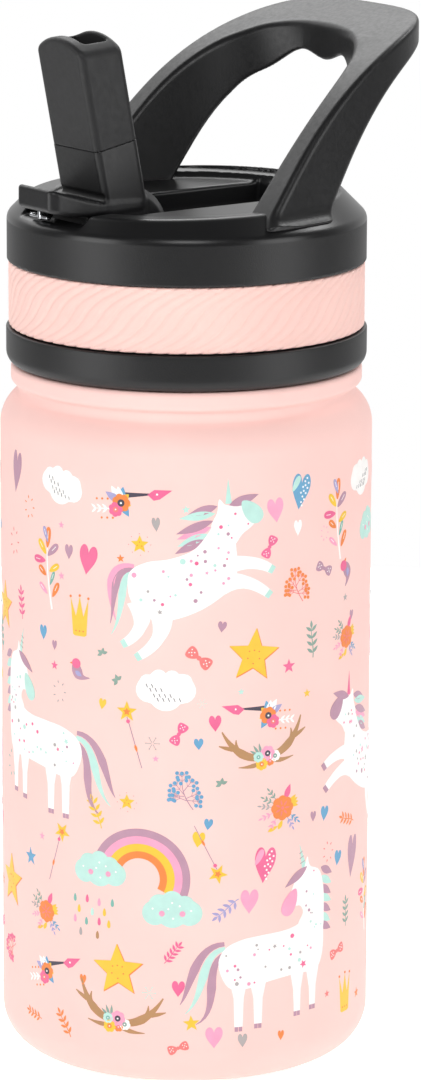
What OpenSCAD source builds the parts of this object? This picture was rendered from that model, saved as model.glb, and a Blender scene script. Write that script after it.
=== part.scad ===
// Kids' insulated water bottle with a screw lid, a flip-up drinking spout and a carry handle.
// Millimetres. The origin is the centre of the foot ring, +Z is up, the spout faces -Y
// and the handle leans back over +Y. The lid is shown screwed down with the spout open.

/* [Bottle] */
// Outside diameter of the bottle
body_d = 73; // [72:0.5:76]
// Height at which the straight wall ends and the shoulder begins
straight_top = 126; // [110:1:127]
// Radius of the bottom corner
corner_r = 8.3; // [6:0.1:10]
// Thickness of the steel walls
steel_t = 0.6; // [0.5:0.1:1]
// Clear space between the outer and the inner wall
vacuum_gap = 2.6; // [1.5:0.1:4]

/* [Lid] */
// Outside diameter of the lid's cylindrical wall
lid_d = 70; // [69:0.5:72]
// Lead of the screw thread, which is also how far the lid rises in a turn
thread_lead = 4; // [3:0.5:5]
// Turns of thread on the neck
thread_turns = 1.25; // [1:0.25:1.5]
// Outside diameter of the silicone grip band
band_d = 69.4; // [68:0.2:70]

/* [Spout] */
// Forward lean of the open spout, in degrees
spout_lean = 11.3; // [5:0.1:14]
// Width of the spout from side to side
spout_w = 15.4; // [12:0.1:16]
// Radius of the hinge drum
drum_r = 10; // [9:0.1:10]

/* [Hidden] */
$fn = 96;
eps = 0.01;

// Colours
pink = [0.98, 0.82, 0.79];
steel = [0.72, 0.72, 0.74];
black = [0.12, 0.12, 0.13];
clear = [0.85, 0.88, 0.9];

// Bottle
body_r = body_d / 2;
foot_r = 24;
foot_depth = 2.6;
shoulder_r = 7.5;
groove_r = 33.2;
groove_z = 133;
bead_r = 34.3;
ledge_z = 138;
neck_r = 27.6;
lip_z = 150.6;
vessel_r = body_r - steel_t - vacuum_gap;
vessel_corner = 8;
vessel_floor = 6.2;
vessel_neck_r = 26;
vessel_shoulder_z = 120;
seal_r = 6;
seal_t = 1;
dimple_r = 6.4;
vent_hole_r = 1.5;

// Thread
thread_h = 1.15;
thread_root = 1.6;
thread_crest = 0.7;
thread_z = 141.5;
liner_bore_r = 29.1;
thread_step = 15;

// Lid
lid_r = lid_d / 2;
lid_inner_r = 32.05;
collar_r = lid_r + 0.2;
collar_z0 = 138.3;
band_z0 = 145.5;
band_z1 = 158.3;
band_seat_r = 33.2;
wall_top = 166.2;
wall_fillet = 2.2;
cone_sum = 202.1;
rim_z = 171.35;
rim_tilt = 1.75;
rim_inner_r = 29.2;
dish_z = 169.8;
deck_z = 167.2;
liner_top = 153.8;
liner_under = 152.2;

// Spout, drum and the channel that the spout folds into
pivot = [0, -18.5, 164.7];
drum_half = 7.2;
boss_r = 4;
boss_end = 9.7;
channel_half = 10;
tub_wall = 2;
channel_floor = 158.5;
channel_rear = 24.8;
well_front = -28.9;
well_rear = -8.1;
notch_half = 9.8;
notch_floor = 168.3;
pin_r = 1.55;
pin_bore_r = 1.6;
flow_r = 1.9;
spout_front = -4.6;
spout_back = 5.3;
parting_u = 18.5;
spout_corner_u = 38.2;
spout_peak_u = 40.4;
spigot_r = 3.2;
spigot_top_u = 25;
mouth_half = 4.4;
mouth_depth = 5.2;
tab_front = -36.1;
tab_half = 5.7;
tab_corner = 1.8;
tab_flare = 12;
// Side view of the thumb tab, from its root under the drum round to its root on top
tab_side = [[-19, 171.4], [-28.2, 170.5], [-29.2, 170.5], [tab_front, 172], [tab_front, 174.9],
    [tab_front + 0.4, 175.3], [-25.3, 172.3], [-19, 172.2]];
crease = [-25.2, 173];
crease_r = 0.8;
straw_y = pivot[1];

// Handle: Bezier outlines. The plan is symmetric about the YZ plane.
handle_plan_outer = [
    [[33.9, -5.4], [32.6, 0], [31.4, 5.4], [30.6, 10]],
    [[30.6, 10], [24.6, 44], [19.5, 46.2], [0, 46.2]]];
handle_plan_inner = [[25.8, -5.4], [26.2, 18.1], [20.8, 33.1], [0, 33.1]];
handle_side_top = [[-5.4, 166], [6.6, 182.9], [14.9, 197.6], [45.8, 205]];
handle_side_under = [[46.2, 199], [27.5, 195.6], [19.7, 182.2], [12, 167]];
handle_foot_z = 167.8;

// Points of an arc in the plane, from angle a0 to a1 in n steps
function arc(c, r, a0, a1, n) = [for (i = [0:n]) let (a = a0 + (a1 - a0) * i / n)
    [c[0] + r * cos(a), c[1] + r * sin(a)]];
// Points of a cubic Bezier curve in n steps, without its last point
function bezier(p, n) = [for (i = [0:n - 1]) let (t = i / n, s = 1 - t)
    s * s * s * p[0] + 3 * s * s * t * p[1] + 3 * s * t * t * p[2] + t * t * t * p[3]];
function mirror_x(points) = [for (i = [len(points) - 1:-1:0]) [-points[i][0], points[i][1]]];

// Cross-section of a helical ridge that grows from radius r by h, outward (h > 0) or inward (h < 0)
function ridge_ring(r, h, a, z) = [
    for (p = [[r - sign(h) * 0.3, -thread_root / 2], [r + h, -thread_crest / 2],
              [r + h, thread_crest / 2], [r - sign(h) * 0.3, thread_root / 2]])
        [p[0] * cos(a), p[0] * sin(a), z + p[1]]];

module helical_ridge(r, h, z0, turns) {
    steps = round(turns * 360 / thread_step);
    points = [for (i = [0:steps]) each ridge_ring(r, h, i * thread_step,
        z0 + thread_lead * i * thread_step / 360)];
    sides = [for (i = [0:steps - 1], k = [0:3]) let (a = 4 * i + k, b = 4 * i + (k + 1) % 4)
        h > 0 ? [a, b, b + 4, a + 4] : [a, a + 4, b + 4, b]];
    ends = h > 0 ? [[3, 2, 1, 0], [4 * steps, 4 * steps + 1, 4 * steps + 2, 4 * steps + 3]]
        : [[0, 1, 2, 3], [4 * steps + 3, 4 * steps + 2, 4 * steps + 1, 4 * steps]];
    polyhedron(points, concat(sides, ends), convexity = 8);
}

// Block with four rounded upright edges
module rounded_block(x, y0, y1, z0, z1, r) {
    translate([-x, y0 + r, z0]) cube([2 * x, y1 - y0 - 2 * r, z1 - z0]);
    translate([-x + r, y0, z0]) cube([2 * (x - r), y1 - y0, z1 - z0]);
    for (sx = [-1, 1], y = [y0 + r, y1 - r])
        translate([sx * (x - r), y, z0]) cylinder(r = r, h = z1 - z0);
}

// Turns the spout's own frame (+Z along the spout) into the open position on the pivot
module on_spout() {
    translate(pivot) rotate([spout_lean, 0, 0]) children();
}

// ---- Bottle ----

module outer_shell() {
    outside = concat(
        [[foot_r, foot_depth], [foot_r, 0]],
        arc([body_r - corner_r, corner_r], corner_r, -90, 0, 10),
        arc([body_r - shoulder_r, straight_top], shoulder_r, 0, 52, 6),
        [[groove_r, groove_z]],
        arc([bead_r - 1.2, groove_z + 2.3], 1.2, -70, 0, 3),
        arc([bead_r - 1, ledge_z - 1], 1, 0, 90, 4),
        [[neck_r + 0.6, ledge_z], [neck_r, ledge_z + 0.6], [neck_r, lip_z - steel_t]]);
    inside = concat(
        [[neck_r - steel_t, lip_z - steel_t], [neck_r - steel_t, ledge_z - steel_t],
         [groove_r - 0.4, ledge_z - steel_t], [groove_r - steel_t, ledge_z - 2],
         [groove_r - steel_t, groove_z]],
        arc([body_r - shoulder_r, straight_top], shoulder_r - steel_t, 52, 0, 6),
        arc([body_r - corner_r, corner_r], corner_r - steel_t, 0, -90, 10),
        [[foot_r + steel_t, steel_t], [foot_r + steel_t, foot_depth]]);
    color(pink) union() {
        rotate_extrude() polygon(concat(outside, inside));
        helical_ridge(neck_r, thread_h, thread_z, thread_turns);
    }
}

module inner_vessel() {
    shoulder = vessel_r - vessel_neck_r;
    outside = concat(
        [[0, vessel_floor]],
        arc([vessel_r - vessel_corner, vessel_floor + vessel_corner], vessel_corner, -90, 0, 8),
        arc([vessel_neck_r, vessel_shoulder_z], shoulder, 0, 90, 8),
        [[vessel_neck_r, lip_z - steel_t], [neck_r, lip_z - steel_t], [neck_r, lip_z]]);
    inside = concat(
        [[vessel_neck_r - steel_t, lip_z]],
        arc([vessel_neck_r - steel_t, vessel_shoulder_z], shoulder, 90, 0, 8),
        arc([vessel_r - vessel_corner, vessel_floor + vessel_corner],
            vessel_corner - steel_t, 0, -90, 8),
        [[0, vessel_floor + steel_t]]);
    color(steel) rotate_extrude() polygon(concat(outside, inside));
}

// Pressed disc that closes the foot, with a dimple in which the seal lies flush
module base_cup() {
    cup_top = foot_depth + steel_t;
    profile = [[vent_hole_r, foot_depth + seal_t], [dimple_r, foot_depth + seal_t],
        [dimple_r, foot_depth], [foot_r + steel_t, foot_depth], [foot_r + steel_t, cup_top],
        [dimple_r + steel_t, cup_top], [dimple_r + steel_t, cup_top + seal_t],
        [vent_hole_r, cup_top + seal_t]];
    color(steel) rotate_extrude() polygon(profile);
}

module vacuum_seal() {
    color(steel) translate([0, 0, foot_depth]) cylinder(r = seal_r, h = seal_t);
}

module getter() {
    color([0.4, 0.4, 0.42]) translate([14, 0, foot_depth + steel_t]) cylinder(r = 5, h = 1.4);
}

// ---- Lid ----

module lid_gasket() {
    color(clear) translate([0, 0, lip_z + 0.05]) difference() {
        cylinder(r = neck_r + 0.8, h = liner_under - lip_z - 0.1);
        translate([0, 0, -eps]) cylinder(r = vessel_neck_r - 0.8, h = 3);
    }
}

module lid_liner() {
    thread_start = thread_z + thread_lead / 2 - thread_lead;
    color(black) union() {
        difference() {
            translate([0, 0, collar_z0 + 0.6])
                cylinder(r = lid_inner_r, h = liner_top - collar_z0 - 0.6);
            translate([0, 0, collar_z0]) cylinder(r = liner_bore_r, h = liner_under - collar_z0);
            translate([0, straw_y, liner_under - 1]) cylinder(r = spigot_r, h = 4);
            translate([0, 14, liner_under - 1]) cylinder(r = 1.5, h = 4);
        }
        helical_ridge(liner_bore_r, -thread_h, thread_start + thread_lead, thread_turns);
    }
}

module lid_collar() {
    profile = [[lid_inner_r, collar_z0], [collar_r - 1, collar_z0], [collar_r, collar_z0 + 1.8],
        [collar_r, band_z0 - 0.5], [collar_r - 0.4, band_z0 - 0.1], [lid_inner_r, band_z0 - 0.1]];
    color(black) rotate_extrude() polygon(profile);
}

module grip_band() {
    band_r = band_d / 2;
    profile = [[band_seat_r + 0.02, band_z0], [band_r - 0.4, band_z0], [band_r, band_z0 + 0.4],
        [band_r, band_z1 - 0.5], [band_r - 0.4, band_z1 - 0.1], [band_seat_r + 0.02, band_z1 - 0.1]];
    color(pink) rotate_extrude() polygon(profile);
}

// Solid of revolution of the lid's upper shell, before its pockets are cut. Its cone leans at 45
// degrees, so radius and height add up to cone_sum, and its rim lies in a plane that drops forward.
module lid_dome() {
    crest = rim_z + 2;
    profile = concat(
        [[lid_inner_r, band_z0], [band_seat_r, band_z0], [band_seat_r, band_z1], [lid_r, band_z1]],
        arc([lid_r - wall_fillet, wall_top], wall_fillet, 0, 45, 4),
        [[cone_sum - crest, crest], [rim_inner_r, crest], [rim_inner_r, rim_z],
         [27.2, 171], [25.2, dish_z], [0, dish_z], [0, deck_z], [31, deck_z],
         [lid_inner_r, deck_z - 1.6]]);
    intersection() {
        rotate_extrude() polygon(profile);
        translate([0, 0, rim_z]) rotate([rim_tilt, 0, 0]) translate([-50, -50, -50]) cube([100, 100, 50]);
    }
}

// Side view of the handle, extruded across, met with its plan, extruded upward
module handle_solid() {
    outer_half = concat(bezier(handle_plan_outer[0], 4), bezier(handle_plan_outer[1], 14));
    outer = concat(outer_half, [handle_plan_outer[1][3]], mirror_x(outer_half));
    inner_half = bezier(handle_plan_inner, 12);
    inner = concat(inner_half, [[0, 33.1]], mirror_x(inner_half));
    side = concat(bezier(handle_side_top, 14), [handle_side_top[3]],
        bezier(handle_side_under, 12), [[12, 166]]);
    intersection() {
        translate([0, 0, handle_foot_z]) linear_extrude(40) difference() {
            polygon(outer);
            polygon(inner);
        }
        rotate([90, 0, 90]) translate([0, 0, -40]) linear_extrude(80) polygon(side);
    }
}

module carry_handle() {
    color(black) handle_solid();
}

module lid_shell() {
    color(black) difference() {
        union() {
            lid_dome();
            // Walls of the well and of the channel, and the channel's floor
            intersection() {
                union() {
                    translate([-channel_half - tub_wall, well_front - tub_wall, liner_top + 0.1])
                        cube([2 * (channel_half + tub_wall), well_rear - well_front + 2 * tub_wall,
                            deck_z - liner_top]);
                    translate([-channel_half - tub_wall, well_rear, channel_floor - 1.6])
                        cube([2 * (channel_half + tub_wall), channel_rear - well_rear + tub_wall,
                            deck_z - channel_floor + 2]);
                }
                cylinder(r = lid_inner_r + 0.2, h = 200);
            }
        }
        translate([-channel_half, well_front, liner_top - 1])
            cube([2 * channel_half, well_rear - well_front, 30]);
        translate([-channel_half, well_rear - 1, channel_floor])
            cube([2 * channel_half, channel_rear - well_rear + 1, 30]);
        translate([-notch_half, -40, notch_floor]) cube([2 * notch_half, 40 + well_front + 1, 10]);
        translate([-channel_half - tub_wall - 1, pivot[1], pivot[2]]) rotate([0, 90, 0])
            cylinder(r = pin_r, h = 2 * (channel_half + tub_wall + 1));
        handle_solid();
    }
}

module tab_catch() {
    side = [[-33.6, notch_floor], [-31.2, notch_floor], [-31.2, 169.6], [-32.6, 170.6],
        [-33.6, 169.9]];
    color(clear) rotate([90, 0, 90]) translate([0, 0, -6]) linear_extrude(12) polygon(side);
}

module hinge_pin(side) {
    color(steel) translate([side * 4.4, pivot[1], pivot[2]]) rotate([0, side * 90, 0])
        cylinder(r = pin_r, h = channel_half + tub_wall - 4.4);
}

module hinge_pin_left() {
    hinge_pin(-1);
}

module hinge_pin_right() {
    hinge_pin(1);
}

module spout_seal() {
    color(clear) translate([0, straw_y, 0]) difference() {
        union() {
            translate([0, 0, liner_top]) cylinder(r = 5, h = 3.4);
            translate([0, 0, liner_under]) cylinder(r = spigot_r, h = 2);
        }
        translate([-10, 0, pivot[2]]) rotate([0, 90, 0]) cylinder(r = drum_r + 0.15, h = 20);
        translate([0, 0, liner_under - 1]) cylinder(r = flow_r, h = 10);
    }
}

module straw_adapter() {
    color(clear) translate([0, straw_y, 0]) difference() {
        union() {
            translate([0, 0, liner_under - 2.8]) cylinder(r = 5, h = 2.8);
            translate([0, 0, 141]) cylinder(r = 2.5, h = 10);
        }
        translate([0, 0, 140]) cylinder(r = 1.7, h = 14);
    }
}

module straw() {
    color(clear) translate([0, straw_y, 12]) difference() {
        cylinder(r = 3.4, h = 137.2);
        translate([0, 0, -1]) cylinder(r = 2.55, h = 140);
        // Notch that keeps the straw from sealing itself against the vessel's floor
        translate([-5, -1.2, -1]) cube([10, 2.4, 4]);
    }
}

module vent_valve() {
    color(clear) translate([0, 14, 0]) {
        translate([0, 0, liner_top]) cylinder(r = 4, h = 0.8);
        translate([0, 0, liner_under - 0.2]) cylinder(r = 1.5, h = 2);
        translate([0, 0, liner_under - 1.6]) cylinder(r = 2, h = 1.6);
    }
}

// ---- Flip-up spout ----

// Side view of the tab, extruded across, met with its plan, extruded upward
module thumb_tab() {
    half = spout_w / 2;
    edge = concat([[half, -19], [half, -26.5]],
        arc([tab_half - tab_corner, tab_front + tab_corner], tab_corner, -tab_flare, -90, 6));
    intersection() {
        translate([0, 0, tab_side[2][1] - 1]) linear_extrude(8) polygon(concat(edge, mirror_x(edge)));
        rotate([90, 0, 90]) translate([0, 0, -half - 1]) linear_extrude(spout_w + 2) polygon(tab_side);
    }
}

module spout_base() {
    half = spout_w / 2;
    color(black) difference() {
        union() {
            translate([-drum_half, pivot[1], pivot[2]]) rotate([0, 90, 0])
                cylinder(r = drum_r, h = 2 * drum_half);
            translate([-boss_end, pivot[1], pivot[2]]) rotate([0, 90, 0])
                cylinder(r = boss_r, h = 2 * boss_end);
            on_spout() rounded_block(half, spout_front, spout_back, 2, parting_u, 1.6);
            on_spout() translate([0, (spout_front + spout_back) / 2, parting_u - 1])
                cylinder(r = spigot_r, h = spigot_top_u - parting_u + 1);
            thumb_tab();
        }
        // Crease between the spout's front face and the tab
        translate([-half - 1, crease[0], crease[1]]) rotate([0, 90, 0])
            cylinder(r = crease_r, h = spout_w + 2);
        on_spout() translate([0, (spout_front + spout_back) / 2, 0])
            cylinder(r = flow_r, h = spigot_top_u + 1);
        translate([pivot[0], pivot[1], pivot[2] - drum_r - 1]) cylinder(r = flow_r, h = drum_r + 2);
        for (side = [-1, 1])
            translate([side * 4.2, pivot[1], pivot[2]]) rotate([0, side * 90, 0])
                cylinder(r = pin_bore_r, h = 8);
    }
}

module mouthpiece() {
    half = spout_w / 2;
    rise = spout_peak_u - spout_corner_u;
    crown_r = (half * half + rise * rise) / (2 * rise);
    middle = (spout_front + spout_back) / 2;
    color(black) on_spout() difference() {
        intersection() {
            rounded_block(half, spout_front, spout_back, parting_u, spout_peak_u, 1.8);
            translate([0, spout_back + 1, spout_peak_u - crown_r]) rotate([90, 0, 0])
                cylinder(r = crown_r, h = spout_back - spout_front + 2);
        }
        translate([0, middle, parting_u - 1])
            cylinder(r = spigot_r, h = spigot_top_u - parting_u + 1.5);
        translate([-mouth_half, middle - mouth_depth / 2, spigot_top_u])
            cube([2 * mouth_half, mouth_depth, 20]);
    }
}

outer_shell();
inner_vessel();
base_cup();
vacuum_seal();
getter();
lid_gasket();
lid_shell();
lid_collar();
lid_liner();
grip_band();
carry_handle();
tab_catch();
spout_seal();
hinge_pin_left();
hinge_pin_right();
straw_adapter();
straw();
vent_valve();
spout_base();
mouthpiece();
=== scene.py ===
"""Looks of a kids' insulated water bottle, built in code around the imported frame.

Shapes are worked out in millimetres in the frame's own axes (+Z up, the spout faces -Y, the
handle leans back over +Y) and are scaled to metres when their mesh is made."""
import math

import bpy
import numpy as np
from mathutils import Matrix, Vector
from mathutils.geometry import tessellate_polygon


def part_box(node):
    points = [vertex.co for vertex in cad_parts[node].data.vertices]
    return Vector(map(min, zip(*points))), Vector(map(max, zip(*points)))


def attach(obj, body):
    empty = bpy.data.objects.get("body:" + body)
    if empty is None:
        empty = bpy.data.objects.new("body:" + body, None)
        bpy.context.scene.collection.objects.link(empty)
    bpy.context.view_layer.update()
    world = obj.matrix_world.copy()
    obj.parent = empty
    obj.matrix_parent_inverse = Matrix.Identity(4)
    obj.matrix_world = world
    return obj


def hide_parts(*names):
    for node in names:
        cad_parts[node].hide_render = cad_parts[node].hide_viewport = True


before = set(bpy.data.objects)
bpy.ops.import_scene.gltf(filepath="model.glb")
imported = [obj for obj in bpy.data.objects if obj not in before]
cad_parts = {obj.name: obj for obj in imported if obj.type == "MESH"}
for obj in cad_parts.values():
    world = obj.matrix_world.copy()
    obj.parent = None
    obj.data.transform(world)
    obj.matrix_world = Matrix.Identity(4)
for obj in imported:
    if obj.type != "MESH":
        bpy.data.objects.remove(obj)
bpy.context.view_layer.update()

MM = 0.001


def extent(node):
    """Lowest and highest corner of a CAD node, in millimetres."""
    low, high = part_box(node)
    return np.array(low) / MM, np.array(high) / MM


# ---------------------------------------------------------------- driving sizes, from the frame
SHELL_HIGH = extent("outer_shell")[1]
COLLAR_LOW, COLLAR_HIGH = extent("lid_collar")
BAND_LOW, BAND_HIGH = extent("grip_band")
LID_HIGH = extent("lid_shell")[1]
HANDLE_LOW, HANDLE_HIGH = extent("carry_handle")
PIN_LOW, PIN_HIGH = extent("hinge_pin_right")
MOUTH_LOW, MOUTH_HIGH = extent("mouthpiece")
BASE_LOW, BASE_HIGH = extent("spout_base")

PRINT_T = 0.12                        # thickness kept for the printed layers
BODY_R = SHELL_HIGH[0] - PRINT_T      # painted surface under the print
LID_R = LID_HIGH[0]
PIVOT_Y = (PIN_LOW[1] + PIN_HIGH[1]) / 2
PIVOT_Z = (PIN_LOW[2] + PIN_HIGH[2]) / 2
SPOUT_HALF = MOUTH_HIGH[0]
SPOUT_LEAN = math.radians(11.3)
LID_BORE_R = 32.05                    # inside of the lid's upright walls
BAND_SEAT_R = 33.2                    # wall that the grip band sits on


# ---------------------------------------------------------------- curves
def arc(center, radius, start, end, steps=12):
    """Points of an arc in a plane, from start to end in degrees."""
    angles = np.radians(np.linspace(start, end, steps + 1))
    return [(center[0] + radius * math.cos(a), center[1] + radius * math.sin(a)) for a in angles]


def bezier(p0, p1, p2, p3, steps=24):
    """Points of a cubic Bezier curve, both ends included."""
    t = np.linspace(0, 1, steps + 1)[:, None]
    s = 1 - t
    points = [np.array(p, float) for p in (p0, p1, p2, p3)]
    curve = (s**3 * points[0] + 3 * s * s * t * points[1] + 3 * s * t * t * points[2]
             + t**3 * points[3])
    return [tuple(p) for p in curve]


def smooth_loop(points, per_span=8):
    """Closed Catmull-Rom curve through the points."""
    p = np.array(points, float)
    before, after, beyond = np.roll(p, 1, 0), np.roll(p, -1, 0), np.roll(p, -2, 0)
    out = []
    for t in np.arange(per_span) / per_span:
        out.append(0.5 * (2 * p + (after - before) * t
                          + (2 * before - 5 * p + 4 * after - beyond) * t**2
                          + (3 * p - before - 3 * after + beyond) * t**3))
    return np.stack(out, 1).reshape(-1, 2)


def mirrored(half):
    """Closed outline from its right half, listed from the front round to the back."""
    return list(half) + [(-x, y) for x, y in reversed(half)]


# ---------------------------------------------------------------- distance fields, in millimetres
def outline_distance(x, y, points):
    """Distance from (x, y) to a closed outline, negative inside it."""
    shape = np.broadcast(x, y).shape
    nearest = np.full(shape, 1e9)
    inside = np.zeros(shape, bool)
    for (ax, ay), (bx, by) in zip(points, list(points[1:]) + [points[0]]):
        ex, ey = bx - ax, by - ay
        length2 = ex * ex + ey * ey
        if length2 < 1e-12:
            continue
        wx, wy = x - ax, y - ay
        t = np.clip((wx * ex + wy * ey) / length2, 0, 1)
        nearest = np.minimum(nearest, (wx - ex * t) ** 2 + (wy - ey * t) ** 2)
        crosses = (ay > y) != (by > y)
        inside ^= crosses & ((wx * ey - wy * ex) * np.sign(ey) < 0)
    return np.where(inside, -1.0, 1.0) * np.sqrt(nearest)


def box_distance(x, y, z, low, high, r=0.0):
    """Distance to an upright box with all edges rounded by r."""
    parts = [np.abs(v - (a + b) / 2) - (b - a) / 2 + r for v, a, b in zip((x, y, z), low, high)]
    outside = sum(np.maximum(p, 0) ** 2 for p in parts) ** 0.5
    return outside + np.minimum(np.maximum(np.maximum(parts[0], parts[1]), parts[2]), 0) - r


def bar_distance(x, y, half_x, half_y, r):
    """Distance to a rounded rectangle about the origin of a plane."""
    qx, qy = np.abs(x) - half_x + r, np.abs(y) - half_y + r
    return np.hypot(np.maximum(qx, 0), np.maximum(qy, 0)) + np.minimum(np.maximum(qx, qy), 0) - r


def meet(a, b, r):
    """What two solids share, with the edge between them rounded by r."""
    return np.minimum(np.maximum(a, b), -r) + np.hypot(np.maximum(a + r, 0), np.maximum(b + r, 0))


def join(a, b, r):
    """Both solids together, with a fillet of radius r between them."""
    return np.maximum(np.minimum(a, b), r) - np.hypot(np.maximum(r - a, 0), np.maximum(r - b, 0))


def cut(a, b, r):
    """The first solid without the second, with the new edge rounded by r."""
    return meet(a, -b, r)


# ---------------------------------------------------------------- meshes
def new_piece(name, vertices, faces, body, material, replaces=(), normals=None, sharp=None):
    """Mesh object from points in millimetres, riding on a body with its material.

    Edges that turn by more than sharp degrees stay crisp; normals, where given, are kept."""
    mesh = bpy.data.meshes.new(name)
    mesh.from_pydata((np.asarray(vertices, float) * MM).tolist(), [], [list(f) for f in faces])
    mesh.validate()
    mesh.shade_smooth()
    if sharp is not None:
        mesh.set_sharp_from_angle(angle=math.radians(sharp))
    if normals is not None:
        mesh.normals_split_custom_set_from_vertices(np.asarray(normals, float).tolist())
    piece = bpy.data.objects.new(name, mesh)
    bpy.context.scene.collection.objects.link(piece)
    mesh.materials.append(material)
    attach(piece, body)
    if replaces:
        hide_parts(*replaces)


def lathe(profile, segments, bulge=None):
    """Solid of revolution of a closed profile of (radius, z). bulge moves points out or in."""
    profile = np.array(profile, float)
    turns = np.arange(segments) * 2 * math.pi / segments
    radius = np.repeat(profile[None, :, 0], segments, 0)
    z = np.repeat(profile[None, :, 1], segments, 0)
    if bulge is not None:
        radius = radius + bulge(turns[:, None], radius, z)
    x, y = radius * np.cos(turns)[:, None], radius * np.sin(turns)[:, None]
    vertices = np.stack([x, y, z], -1).reshape(-1, 3)
    n = len(profile)
    i, j = np.meshgrid(np.arange(segments), np.arange(n), indexing="ij")
    a, b = i * n + j, i * n + (j + 1) % n
    c, d = (i + 1) % segments * n + (j + 1) % n, (i + 1) % segments * n + j
    return vertices, np.stack([a, d, c, b], -1).reshape(-1, 4)


CORNERS = [(0, 0, 0), (1, 0, 0), (0, 1, 0), (1, 1, 0), (0, 0, 1), (1, 0, 1), (0, 1, 1), (1, 1, 1)]
CELL_EDGES = [(0, 1), (2, 3), (4, 5), (6, 7), (0, 2), (1, 3), (4, 6), (5, 7), (0, 4), (1, 5),
              (2, 6), (3, 7)]


def surface_net(field, low, high, step):
    """Vertices, faces and normals of the zero level of a field inside a box, in millimetres."""
    axes = [np.arange(a - 1.5 * step, b + 2.5 * step, step) for a, b in zip(low, high)]
    x, y, z = np.meshgrid(*axes, indexing="ij", sparse=True)
    values = np.broadcast_to(field(x, y, z), [len(a) for a in axes])
    inside = values < 0
    shape = [n - 1 for n in values.shape]
    block = [tuple(slice(c, c + n) for c, n in zip(corner, shape)) for corner in CORNERS]
    count = sum(inside[b].astype(np.int8) for b in block)
    cells = np.argwhere((count > 0) & (count < 8))
    number = np.full(shape, -1)
    number[tuple(cells.T)] = np.arange(len(cells))
    corner_values = np.stack([values[b][tuple(cells.T)] for b in block], 1)
    total, hits = np.zeros((len(cells), 3)), np.zeros(len(cells))
    for a, b in CELL_EDGES:
        va, vb = corner_values[:, a], corner_values[:, b]
        crossed = (va < 0) != (vb < 0)
        t = np.where(crossed, va / np.where(crossed, va - vb, 1), 0)[:, None]
        point = np.array(CORNERS[a]) * (1 - t) + np.array(CORNERS[b]) * t
        total += point * crossed[:, None]
        hits += crossed
    start = np.array([a[0] for a in axes])
    vertices = start + step * (cells + total / hits[:, None])
    faces = []
    for axis in range(3):
        u, v = (axis + 1) % 3, (axis + 2) % 3
        lower = [slice(1, n) for n in shape]
        lower[axis] = slice(0, shape[axis])
        upper = list(lower)
        upper[axis] = slice(1, shape[axis] + 1)
        a, b = inside[tuple(lower)], inside[tuple(upper)]
        base = np.argwhere(a != b) + [0 if k == axis else 1 for k in range(3)]
        step_u, step_v = np.eye(3, dtype=int)[u], np.eye(3, dtype=int)[v]
        quad = np.stack([number[tuple((base - du * step_u - dv * step_v).T)]
                         for du, dv in ((0, 0), (1, 0), (1, 1), (0, 1))], 1)
        outward = a[a != b]
        faces.append(np.where(outward[:, None], quad, quad[:, ::-1]))
    vertices = settle(field, vertices, step)
    return vertices, np.concatenate(faces), slope(field, vertices, 0.35 * step)


def slope(field, points, h):
    """Unit gradient of a field at some points."""
    columns = []
    for axis in range(3):
        shift = np.eye(3)[axis] * h
        ahead, behind = points + shift, points - shift
        columns.append(field(*ahead.T) - field(*behind.T))
    gradient = np.stack(columns, 1)
    return gradient / np.maximum(np.linalg.norm(gradient, axis=1), 1e-9)[:, None]


def settle(field, points, step):
    """Moves points onto the zero level of a field."""
    for _ in range(2):
        distance = np.clip(field(*points.T), -0.5 * step, 0.5 * step)
        points = points - slope(field, points, 0.25 * step) * distance[:, None]
    return points


def moulded(name, field, low, high, step, body, material, replaces=()):
    """Piece whose surface is the zero level of a field."""
    vertices, faces, normals = surface_net(field, low, high, step)
    new_piece(name, vertices, faces, body, material, replaces, normals)


# ---------------------------------------------------------------- materials
def srgb(code):
    """Linear colour of a six-digit hex code."""
    parts = [int(code[i:i + 2], 16) / 255 for i in (0, 2, 4)]
    return tuple(c / 12.92 if c <= 0.04045 else ((c + 0.055) / 1.055) ** 2.4
                 for c in parts) + (1.0,)


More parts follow.
